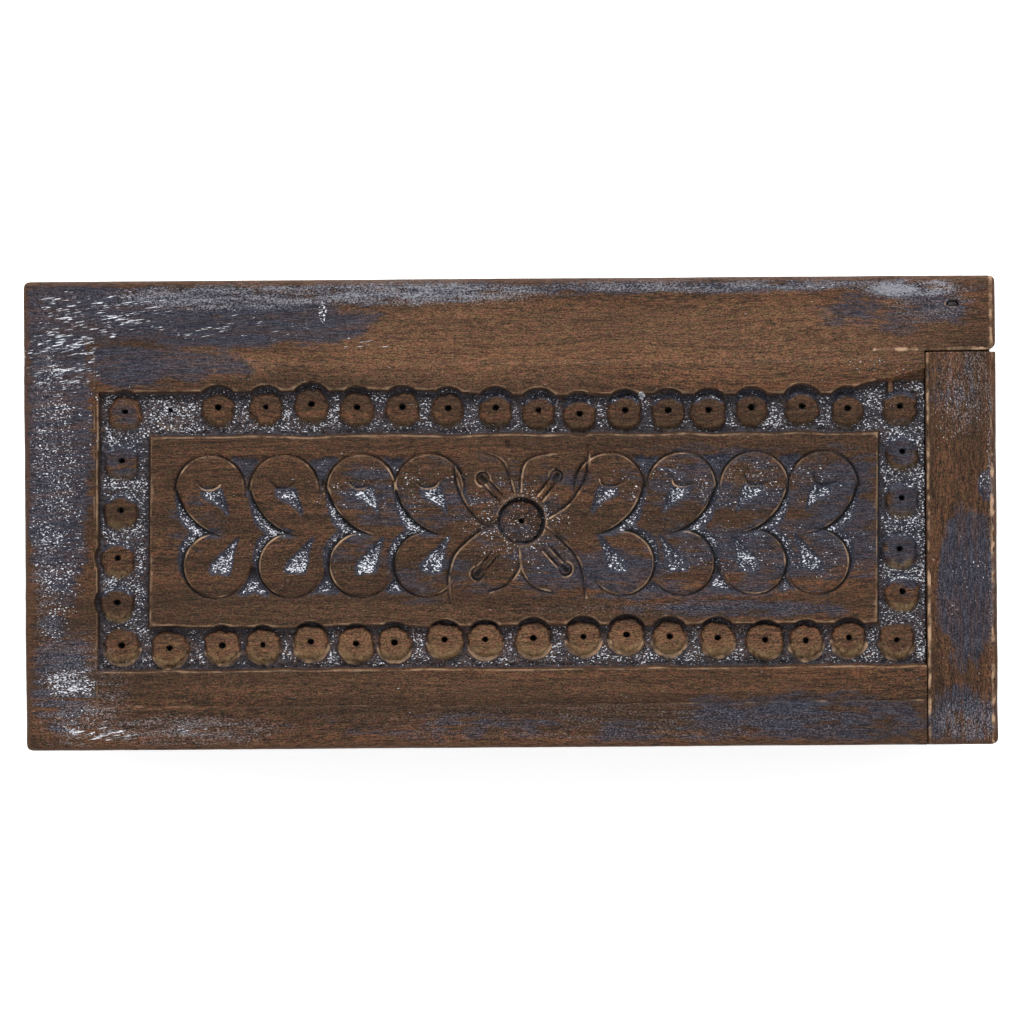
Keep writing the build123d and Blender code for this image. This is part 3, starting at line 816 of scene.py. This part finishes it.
def make_key():
    """The plain key, with its tongue and the slot for its dovetail strip."""
    field = key_relief()
    xs = grid_lines((
        (KEY_LEFT, KEY_LEFT + 1, 0.15),
        (KEY_LEFT + 1, RIGHT - 2, 0.5),
        (RIGHT - 2, RIGHT, 0.2),
    ))
    ys = grid_lines((
        (FRONT, FRONT + 2, 0.2),
        (FRONT + 2, KEY_BACK - 1, 0.5),
        (KEY_BACK - 1, KEY_BACK, 0.15),
    ))
    key = closed_board("sliding_key", xs, ys, lambda x, y: x > 0, lambda x, y: TOP - lookup(field, x, y),
                       ((RIGHT, FRONT, 1, -1, CORNER), (KEY_LEFT, KEY_BACK, -1, 1, 0.5),
                        (RIGHT, KEY_BACK, 1, 1, 0.5)), LID_BASE + KEY_CLEARANCE, 0.15)
    middle = LID_BASE + TONGUE_RISE
    tongue = solid_block("tongue", (KEY_LEFT - TONGUE_REACH, -40, middle - TONGUE_HALF),
                         (KEY_LEFT + 1, KEY_BACK - 3, middle + TONGUE_HALF))
    join_solid(key, tongue, "UNION")
    neck = 2.1
    centre = (strip_low[0] + strip_high[0]) / 2
    join_solid(key, solid_block("let_in", (centre - neck, FRONT - 1, LID_BASE - 1),
                                (centre + neck, strip_high[1], strip_high[2])), "DIFFERENCE")
    rubbed = np.where(X > LID_END, MASKS["rubbed"], 0)
    store_masks(key, {**NO_CARVING, "worn": worn_arrises(field), "rubbed": rubbed, "rim": MASKS["rim"]})
    shade(key)
    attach(key, "key")
    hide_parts("end_key")
    return key


# ---- Materials -------------------------------------------------------------------------------
class Shader:
    """A material and short ways to add its nodes."""

    def __init__(self, name):
        self.material = bpy.data.materials.new(name)
        self.material.use_nodes = True
        self.tree = self.material.node_tree
        self.surface = self.tree.nodes["Principled BSDF"]

    def node(self, kind, inputs=(), **settings):
        made = self.tree.nodes.new(kind)
        for key, value in settings.items():
            setattr(made, key, value)
        for key, value in dict(inputs).items():
            if isinstance(value, bpy.types.NodeSocket):
                self.tree.links.new(value, made.inputs[key])
            else:
                made.inputs[key].default_value = value
        return made

    def place(self):
        """Where a point of the piece is, in millimetres, in the box's own frame."""
        coordinates = self.node("ShaderNodeTexCoord").outputs["Object"]
        return self.vector("MULTIPLY", coordinates, (1 / MM, 1 / MM, 1 / MM))

    def end_grain(self, long_axis):
        """One on the faces that cut across the fibres, which soak up more of the dark finish."""
        normal = self.node("ShaderNodeNewGeometry").outputs["True Normal"]
        own = self.node("ShaderNodeVectorTransform", {0: normal}, vector_type="NORMAL",
                        convert_from="WORLD", convert_to="OBJECT").outputs[0]
        along = self.node("ShaderNodeSeparateXYZ", {0: own}).outputs[long_axis]
        return self.range(self.math("ABSOLUTE", along), 0.7, 0.9)

    def vector(self, operation, a, b):
        return self.node("ShaderNodeVectorMath", {0: a, 1: b}, operation=operation).outputs[0]

    def noise(self, vector, factors, detail=2.0, roughness=0.5, distortion=0.0):
        """Noise whose cells are 1 / factors millimetres across."""
        return self.node("ShaderNodeTexNoise", {"Vector": self.vector("MULTIPLY", vector, factors),
                                                "Scale": 1.0, "Detail": detail, "Roughness": roughness,
                                                "Distortion": distortion}).outputs["Fac"]

    def math(self, operation, a, b=0.0):
        return self.node("ShaderNodeMath", {0: a, 1: b}, operation=operation).outputs[0]

    def add(self, a, b):
        return self.math("ADD", a, b)

    def times(self, a, b):
        return self.math("MULTIPLY", a, b)

    def less(self, a, b):
        return self.math("SUBTRACT", a, b)

    def most(self, a, b):
        return self.math("MAXIMUM", a, b)

    def range(self, value, low, high, to_low=0.0, to_high=1.0):
        """A smooth step from low to high."""
        return self.node("ShaderNodeMapRange", {"Value": value, "From Min": low, "From Max": high,
                                                "To Min": to_low, "To Max": to_high},
                         interpolation_type="SMOOTHSTEP").outputs[0]

    def mix(self, factor, a, b, kind="MIX"):
        made = self.node("ShaderNodeMix", data_type="RGBA", blend_type=kind)
        for socket, value in ((made.inputs[0], factor), (made.inputs[6], a), (made.inputs[7], b)):
            if isinstance(value, bpy.types.NodeSocket):
                self.tree.links.new(value, socket)
            else:
                socket.default_value = value if socket.type == "VALUE" else (*value, 1.0)[:4]
        return made.outputs[2]

    def mask(self, name):
        return self.node("ShaderNodeAttribute", attribute_name=name).outputs["Fac"]

    def patch(self, place, spots):
        """The strongest of some soft oval spots, each (x, y, half-length, half-width, strength)."""
        total = None
        for x, y, long, wide, strength in spots:
            moved = self.vector("SUBTRACT", place, (x, y, 0))
            shaped = self.vector("MULTIPLY", moved, (1 / long, 1 / wide, 0))
            away = self.node("ShaderNodeVectorMath", {0: shaped}, operation="LENGTH").outputs["Value"]
            one = self.range(away, 1.25, 0.45, 0.0, strength)
            total = one if total is None else self.most(total, one)
        return total

    def finish(self, colour, roughness, height, bump=0.15, distance=0.0004):
        self.tree.links.new(colour, self.surface.inputs["Base Color"])
        self.tree.links.new(roughness, self.surface.inputs["Roughness"])
        bumped = self.node("ShaderNodeBump", {"Height": height, "Strength": bump, "Distance": distance})
        self.tree.links.new(bumped.outputs[0], self.surface.inputs["Normal"])
        return self.material


# Colours, as linear light
DARK_BROWN = (0.012, 0.007, 0.0045)
MID_BROWN = (0.048, 0.0255, 0.0148)
RED_BROWN = (0.072, 0.034, 0.0175)
FADED = (0.112, 0.060, 0.034)
SLATE = (0.007, 0.008, 0.014)
PALE_SLATE = (0.048, 0.051, 0.070)
# Pale grey-blue: dust and a painted sheen, and the grey side of the paint flecks
PALE_BLUE_GREY = (0.205, 0.207, 0.235)
# Near black: the pores' own colour, and painted shade in grooves and hollows
BLACK_FOR_PORES_AND_SHADE = (0.005, 0.0045, 0.0045)
TAN = (0.330, 0.215, 0.135)
# Pale ochre on the buttons' front sides: torn wood, and painted light
TORN_AND_LIT_OCHRE = (0.150, 0.097, 0.048)
PAINT = (0.620, 0.640, 0.690)
BARE = (0.300, 0.180, 0.105)


def grain_size(long_axis, length, width):
    """Noise factors for cells of that length along the grain and that width across it."""
    return tuple(1 / length if axis == long_axis else 1 / width for axis in range(3))


def wood_grain(s, place, long_axis, faded_spots, log):
    """Colour and height of the bare wood, with its grain along one axis.

    Boards cut from different logs have different numbers, so that grain stops at their joints.
    """
    def size(length, width):
        return grain_size(long_axis, length, width)

    bend = s.noise(place, size(60, 25), 1.0)
    shift = s.node("ShaderNodeCombineXYZ", {k: s.math("MULTIPLY", s.less(bend, 0.5), 9.0)
                                           for k in range(3) if k != long_axis}).outputs[0]
    grained = s.vector("ADD", place, shift)
    if log:
        grained = s.vector("ADD", grained, (310 * log, 170 * log, 230 * log))
    bands = s.noise(grained, size(140, 9), 2.0)
    streaks = s.noise(grained, size(22, 0.9), 3.0, 0.6)
    fibres = s.noise(grained, size(2.4, 0.26), 2.0, 0.7)
    pores = s.range(s.noise(grained, size(1.8, 0.2), 1.0), 0.60, 0.70)
    speck = s.noise(grained, size(0.42, 0.26), 2.0, 0.8)
    tone = s.add(s.times(s.range(streaks, 0.3, 0.7), 0.4), s.times(s.range(fibres, 0.3, 0.7), 0.6))
    colour = s.mix(tone, DARK_BROWN, MID_BROWN)
    colour = s.mix(s.times(s.range(bands, 0.42, 0.66), s.range(tone, 0.2, 0.8)), colour, RED_BROWN)
    if faded_spots:
        faded = s.times(s.patch(place, faded_spots), s.range(tone, 0.2, 0.7, 0.4, 1.0))
        colour = s.mix(faded, colour, FADED)
    colour = s.mix(s.times(pores, 0.6), colour, BLACK_FOR_PORES_AND_SHADE)
    colour = s.mix(s.times(s.end_grain(long_axis), 0.55), colour, DARK_BROWN)
    cloudy = s.range(s.noise(grained, size(1.6, 0.7), 2.0), 0.35, 0.65)
    tint = s.mix(cloudy, (1.09, 0.96, 0.99), (0.93, 1.03, 0.92))
    colour = s.mix(1.0, colour, tint, "MULTIPLY")
    specked = s.mix(s.range(speck, 0.3, 0.72), (0.2, 0.2, 0.2), (2.2, 2.1, 2.0))
    colour = s.mix(0.85, colour, specked, "MULTIPLY")
    height = s.less(s.add(s.times(fibres, 0.5), s.times(speck, 0.35)), s.times(pores, 0.6))
    return grained, colour, height, streaks, fibres, speck


def aged_wood(name, long_axis, blue_spots=(), white_spots=(), blue=0.0, white=0.0, carved=True,
              bare=None, faded_spots=(), dust_and_sheen_spots=(), streak_spots=(), log=0):
    """Brown wood with the remains of a slate-blue stain and of white paint, worn at its edges. Its pale
    grey-blue spots are dust and a painted sheen, and carved pieces also get painted shade in their grooves
    and hollows and painted light on the buttons' front sides.
    """
    s = Shader(name)
    place = s.place()
    grained, colour, height, streaks, fibres, speck = wood_grain(s, place, long_axis, faded_spots, log)

    def size(length, width):
        return grain_size(long_axis, length, width)

    blotch = s.noise(place, (1 / 9, 1 / 5, 1 / 9), 3.0, 0.6)
    brushed = s.noise(grained, size(9, 1.1), 3.0, 0.65)
    stain = s.add(blue, s.patch(place, blue_spots)) if blue_spots else s.add(blue, 0.0)
    stain = s.add(stain, s.times(s.less(blotch, 0.5), 1.3))
    stain = s.add(stain, s.times(s.less(brushed, 0.5), 1.2))
    stained = s.range(stain, 0.38, 0.72)
    dusted = s.add(s.times(fibres, 0.5), s.times(speck, 0.6))
    slate = s.mix(s.range(dusted, 0.45, 0.72), SLATE, PALE_SLATE)
    scuffs = s.add(s.times(brushed, 0.6), s.times(streaks, 0.4))
    rubbed_through = s.range(scuffs, 0.4, 0.62, 0.95, 0.55)
    colour = s.mix(s.times(stained, rubbed_through), colour, slate)
    # Pale grey-blue spots: dust, and along the back edge a painted sheen as well
    if dust_and_sheen_spots:
        dust_and_sheen = s.times(s.patch(place, dust_and_sheen_spots), s.range(brushed, 0.3, 0.6, 0.35, 1.0))
        dust_and_sheen_speckle = s.range(s.add(s.times(dust_and_sheen, 0.5), s.times(speck, 1.1)), 0.66, 1.04)
        colour = s.mix(s.times(dust_and_sheen_speckle, s.range(dust_and_sheen, 0.0, 0.25, 0.0, 0.9)), colour, PALE_BLUE_GREY)
    paint = s.add(white, s.patch(place, white_spots)) if white_spots else s.add(white, 0.0)
    if carved:
        cut, hollow, worn, torn_and_lit, groove_shade, rubbed, grit, rim = (
            s.mask(n) for n in ("cut", "hollow", "worn", "torn_and_lit", "groove_shade", "rubbed", "grit", "rim"))
        rim_brown = s.mix(s.range(fibres, 0.3, 0.6), DARK_BROWN, RED_BROWN)
        colour = s.mix(s.times(rim, 0.75), colour, rim_brown)
        floor = s.range(cut, 0.55, 0.9)
        # The sunk floor is darkened, and the hollows get painted shade, broken up by noise
        darkening_breakup = s.noise(place, (0.9, 0.9, 0.9), 3.0, 0.6)
        dark_floor_and_shade = s.times(s.most(s.times(floor, 0.9), s.range(hollow, 0.2, 0.9, 0.0, 0.8)),
                        s.range(darkening_breakup, 0.25, 0.6, 0.55, 1.0))
        colour = s.mix(dark_floor_and_shade, colour, s.mix(s.range(speck, 0.36, 0.72), BLACK_FOR_PORES_AND_SHADE, PALE_SLATE))
        # Paler ochre on the buttons' front sides: torn wood, and painted light on those sides
        torn = s.range(s.noise(place, (1.6, 0.7, 1.0), 2.0), 0.3, 0.55)
        colour = s.mix(s.times(torn_and_lit, torn), colour, TORN_AND_LIT_OCHRE)
        ragged = s.times(s.less(s.noise(place, (0.8, 1.1, 1.0), 3.0, 0.65), 0.5), 1.1)
        grit = s.times(s.most(s.add(grit, ragged), 0.0), s.range(grit, 0.05, 0.3))
        colour = s.mix(s.times(s.range(grit, 0.1, 0.6), 0.85), colour, slate)
        # Painted shade along the grooves' feet
        colour = s.mix(s.times(s.range(groove_shade, 0.25, 0.75), 0.85), colour, BLACK_FOR_PORES_AND_SHADE)
        patchy = s.range(s.noise(place, (0.35, 0.35, 0.35), 4.0, 0.6), 0.38, 0.62, 0.15)
        bare_arris = s.most(s.times(s.range(worn, 0.4, 0.95), 0.55),
                            s.times(s.range(rubbed, 0.3, 0.8), 0.85))
        colour = s.mix(s.times(bare_arris, patchy), colour, TAN)
        low = s.most(s.times(floor, 0.63), s.times(s.range(grit, 0.5, 1.3), 0.8))
        spared = s.add(s.times(hollow, 0.25), s.times(s.most(rubbed, rim), 0.8))
        paint = s.less(s.most(paint, s.add(low, s.times(paint, 0.4))), spared)
    scatter = s.times(s.less(s.noise(place, (0.22, 0.3, 0.3), 2.0, 0.6), 0.5), 0.9)

    def left_over(shape, amount):
        level = s.less(0.80, s.times(s.add(amount, scatter), 0.36))
        return s.range(s.less(shape, level), 0.0, 0.08)
    flecks = left_over(s.noise(place, size(0.48, 0.30), 1.0, 0.5, 0.4), paint)
    if streak_spots:
        slanted = s.node("ShaderNodeVectorRotate", {"Vector": place, "Angle": math.radians(-8)},
                         rotation_type="Z_AXIS").outputs[0]
        flecks = s.most(flecks, left_over(s.noise(slanted, size(2.6, 0.27), 2.0, 0.6, 0.3),
                                                     s.patch(place, streak_spots)))
    colour = s.mix(s.times(flecks, 0.9), colour, s.mix(s.range(speck, 0.3, 0.6), PALE_BLUE_GREY, PAINT))
    if bare:
        colour = s.mix(s.times(case_wear(s, place), 0.5), colour, BARE)
        inside, paler = bare(s, place)
        raw = s.mix(s.range(s.add(s.times(streaks, 0.5), s.times(fibres, 0.5)), 0.35, 0.65),
                    tuple(0.55 * c for c in paler), paler)
        colour = s.mix(inside, colour, raw)
    polish = s.add(s.range(streaks, 0.3, 0.7, 0.50, 0.66), s.times(stained, 0.08))
    height = s.add(height, s.times(flecks, 0.35))
    s.surface.inputs["Specular IOR Level"].default_value = 0.1
    return s.finish(colour, polish, height, 0.55, 0.00022)


def steel(name, dark, rust):
    """Old steel wire, spotted with rust."""
    s = Shader(name)
    place = s.place()
    spots = s.noise(place, (0.8, 0.8, 0.8), 4.0, 0.65)
    scratch = s.noise(place, (6, 6, 0.4), 2.0)
    colour = s.mix(s.range(spots, 0.5, 0.68), dark, rust)
    s.surface.inputs["Metallic"].default_value = 0.85
    roughness = s.range(spots, 0.35, 0.7, 0.34, 0.75)
    return s.finish(colour, roughness, s.add(spots, s.times(scratch, 0.4)), 0.3)


# Soft oval spots of stain, paint, wear, dust and painted sheen, each (x, y, half-length, half-width,
# strength)
LID_BLUE = (
    (-95, 18, 9, 46, 0.95), (-94, -34, 9, 16, 0.6), (-90, 44, 14, 7, 0.8),
    (-62, 41, 40, 8, 0.85), (-40, 39, 14, 4, 0.8),
    (-80, 31, 12, 6, 0.8), (-30, 46, 40, 3.5, 0.6), (30, 47.5, 70, 2.5, 0.7), (82, 43, 22, 7, 0.6),
    (-66, 31, 18, 4, 0.6), (20, -45, 90, 5, 0.42), (60, -43, 34, 8, 0.6), (45, 8, 34, 8, 0.5),
    (55, -8, 36, 9, 0.65), (70, 0, 10, 16, 0.65), (-20, 2, 22, 8, 0.45), (-66, -2, 8, 8, 0.45),
    (18, -12, 22, 7, 0.6), (2, 0, 16, 16, 0.4), (-15, -14, 14, 6, 0.45), (30, -16, 44, 3, 0.5),
    (82, -5, 5, 15, 0.8), (82, 14, 4, 6, 0.6), (-81, 14, 5, 12, 0.55), (50, 4, 30, 5, 0.6),
    (-30, 6, 9, 6, 0.6), (-14, 6, 8, 7, 0.55), (-32, -8, 10, 5, 0.5), (46, -20.5, 30, 2.5, 0.65),
)
LID_WHITE = (
    (-95.5, 4, 8, 40, 0.47), (-90, 20, 8, 12, 0.36), (-92.5, -35, 6.5, 4, 0.72), (-90, -43, 8, 4, 0.4),
    (-39, 42, 1.2, 3, 0.8), (78, 30, 8, 3, 0.3), (1, -2, 14, 13, 0.42), (27.5, 24.4, 0.9, 0.9, 1.2),
    (45, 6, 34, 7, 0.33), (55, -8, 30, 8, 0.28), (-25, 5, 20, 6, 0.34), (-40, -11, 26, 6, 0.14),
)
LID_STREAKS = (
    (-82, 42, 18, 6, 0.58), (-92, 43, 9, 6, 0.6), (-93, 34, 10, 12, 0.6), (-56, 39, 24, 3.5, 0.45),
    (-30, 36, 12, 2.5, 0.35), (60, 47, 40, 1.5, 0.35), (-86, -45.6, 11, 1.8, 0.7),
    (-68, -45, 12, 1.4, 0.4), (-92, -33, 7, 3, 0.45),
)
LID_FADED = (
    (-8, 36, 46, 10, 0.55), (50, 36, 44, 9, 0.6), (-60, 32, 20, 4, 0.5), (-10, -36, 70, 3, 0.2),
    (-34, -20.5, 42, 2.5, 0.2), (0, -27.5, 86, 4.5, 0.7),
)
# Dust, and along the back edge a painted sheen as well
LID_DUST_AND_SHEEN = (
    (-20, 46.5, 36, 3.5, 0.6), (45, 47.5, 50, 2.2, 0.5), (-56, 45.5, 32, 3.5, 0.55),
    (88, 44, 12, 6, 0.3), (-97, 0, 4, 60, 0.25), (-70, -45, 26, 4, 0.38), (20, -44, 76, 5, 0.2),
    (-90, -38, 12, 16, 0.35), (84, 46.4, 11, 2.6, 0.8), (35, -20.5, 40, 2.5, 0.2),
)
KEY_BLUE = ((95, -16, 6.8, 17, 1.1), (92, 26, 9, 8, 0.3), (94, -44, 10, 8, 0.5), (100, 5, 3, 4, 0.85))
KEY_WHITE = ((93, 22, 8, 9, 0.25), (99, 6, 2, 3, 0.6), (95, -16, 6, 14, 0.2))
# Dust, partly a painted sheen
KEY_DUST_AND_SHEEN = ((95, 26, 8, 12, 0.3), (95, -44, 9, 6, 0.38), (100.5, 0, 1.2, 44, 0.4))


def cavity(s, place):
    """A mask that is one inside the case, where the wood was never stained, and its colour there."""
    parts = s.node("ShaderNodeSeparateXYZ", {0: place}).outputs
    spare = 0.02
    half_x, half_y = RIGHT - WALL + spare, BACK - WALL + spare
    in_x = s.math("LESS_THAN", s.math("ABSOLUTE", parts[0]), half_x)
    in_y = s.math("LESS_THAN", s.math("ABSOLUTE", parts[1]), half_y)
    above = s.math("GREATER_THAN", parts[2], wall_low[2] - spare)
    return s.times(s.times(in_x, in_y), above), BARE


def case_wear(s, place):
    """One in patches along the case's upright corners and the edges it stands on."""
    parts = s.node("ShaderNodeSeparateXYZ", {0: place}).outputs
    at_x = s.range(s.math("ABSOLUTE", parts[0]), RIGHT - 1.5, RIGHT - 0.4)
    at_y = s.range(s.math("ABSOLUTE", parts[1]), BACK - 1.5, BACK - 0.4)
    at_foot = s.range(parts[2], 1.3, 0.4)
    sides = s.most(at_x, at_y)
    edges = s.most(s.times(at_x, at_y), s.times(at_foot, sides))
    return s.times(edges, s.range(s.noise(place, (0.07, 0.07, 0.07), 4.0, 0.6), 0.45, 0.7))


def dress():
    """Gives every piece its material, and makes the lid and the key."""
    lid_wood = aged_wood("lid_wood", 0, LID_BLUE, LID_WHITE, 0.06, 0.02, faded_spots=LID_FADED,
                         dust_and_sheen_spots=LID_DUST_AND_SHEEN, streak_spots=LID_STREAKS)
    key_wood = aged_wood("key_wood", 1, KEY_BLUE, KEY_WHITE, 0.16, 0.02, dust_and_sheen_spots=KEY_DUST_AND_SHEEN)
    case = {"carved": False, "bare": cavity}
    front_wood = aged_wood("front_board_wood", 0, blue=0.26, white=0.04, log=1, **case)
    back_wood = aged_wood("back_board_wood", 0, blue=0.22, white=0.03, log=2, **case)
    left_wood = aged_wood("left_board_wood", 1, blue=0.32, white=0.1, log=3, **case)
    right_wood = aged_wood("right_board_wood", 1, blue=0.26, white=0.05, log=4, **case)
    floor_wood = aged_wood("bottom_wood", 0, blue=0.12, white=0.0, log=5, **case)
    strip_wood = aged_wood("strip_wood", 1, blue=-0.6, white=-0.6, carved=False, log=6)
    brad_steel = steel("brad_steel", (0.20, 0.19, 0.18), (0.10, 0.045, 0.02))
    nail_steel = steel("nail_steel", (0.12, 0.115, 0.11), (0.05, 0.03, 0.02))
    chosen = {
        "front_wall": front_wood,
        "back_wall": back_wood,
        "left_wall": left_wood,
        "right_wall": right_wood,
        "bottom_board": floor_wood,
        "key_dovetail": strip_wood,
        "bottom_brads": brad_steel,
        "key_brads": brad_steel,
        "key_stop_pin": brad_steel,
        "pivot_nail": nail_steel,
    }
    for node, material in chosen.items():
        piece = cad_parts[node]
        piece.data.materials.clear()
        piece.data.materials.append(material)
    for piece, material in ((make_lid(), lid_wood), (make_key(), key_wood)):
        piece.data.materials.clear()
        piece.data.materials.append(material)


def ease_case_edges():
    """A small bevel on the case boards, so that light catches their arrises and joints."""
    for node in ("front_wall", "back_wall", "left_wall", "right_wall", "bottom_board"):
        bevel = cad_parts[node].modifiers.new("eased", "BEVEL")
        bevel.width = 0.35 * MM
        bevel.segments = 2
        bevel.limit_method = "ANGLE"
        bevel.angle_limit = math.radians(50)
        bevel.harden_normals = True


# ---- Stage, light and camera -------------------------------------------------------------------
def area_light(name, place, aim, size, power, colour=(1, 1, 1)):
    light = bpy.data.lights.new(name, "AREA")
    light.shape, light.size, light.size_y = "RECTANGLE", *size
    light.energy, light.color = power, colour
    lamp = linked(name, light)
    lamp.location = place
    lamp.rotation_euler = (Vector(aim) - Vector(place)).to_track_quat("-Z", "Y").to_euler()


def make_stage():
    """A pale floor, a white surround and two soft lights."""
    mesh = bpy.data.meshes.new("floor")
    half = 4.0
    corners = [(-half, -half, 0), (half, -half, 0), (half, half, 0), (-half, half, 0)]
    mesh.from_pydata(corners, [], [(0, 1, 2, 3)])
    floor = linked("floor", mesh)
    paper = Shader("pale_paper")
    paper.surface.inputs["Base Color"].default_value = (0.93, 0.93, 0.93, 1)
    paper.surface.inputs["Roughness"].default_value = 0.9
    paper.surface.inputs["Specular IOR Level"].default_value = 0.1
    paper.surface.inputs["Emission Color"].default_value = (1, 1, 1, 1)
    paper.surface.inputs["Emission Strength"].default_value = 0.28
    mesh.materials.append(paper.material)
    world = bpy.data.worlds.new("studio")
    world.use_nodes = True
    world.node_tree.nodes["Background"].inputs["Color"].default_value = (1, 1, 1, 1)
    world.node_tree.nodes["Background"].inputs["Strength"].default_value = 0.92
    bpy.context.scene.world = world
    bpy.context.scene.view_settings.view_transform = "Standard"
    area_light("back_softbox", (0.05, 0.75, 0.62), (0, 0, 0.06), (0.9, 0.5), 14, (1.0, 0.99, 0.97))
    area_light("front_fill", (-0.2, -0.9, 0.8), (0, 0, 0.06), (1.0, 0.7), 5, (0.95, 0.97, 1.0))


CAMERA_HEIGHT = 0.95
LID_SHARE = 0.95015                 # of the picture's width
TILT_DEG = -0.41


def make_camera():
    """Straight above the lid, which fills most of the picture's width."""
    camera = bpy.data.cameras.new("camera")
    camera.sensor_width = 36
    width = (RIGHT - LEFT) * MM / LID_SHARE
    camera.lens = camera.sensor_width * (CAMERA_HEIGHT - TOP * MM) / width
    camera.clip_start, camera.clip_end = 0.05, 20
    viewer = linked("camera", camera)
    viewer.location = (0.15 * MM, 0.2 * MM, CAMERA_HEIGHT)
    viewer.rotation_euler = (0, 0, math.radians(TILT_DEG))
    bpy.context.scene.camera = viewer


dress()
ease_case_edges()
make_stage()
make_camera()
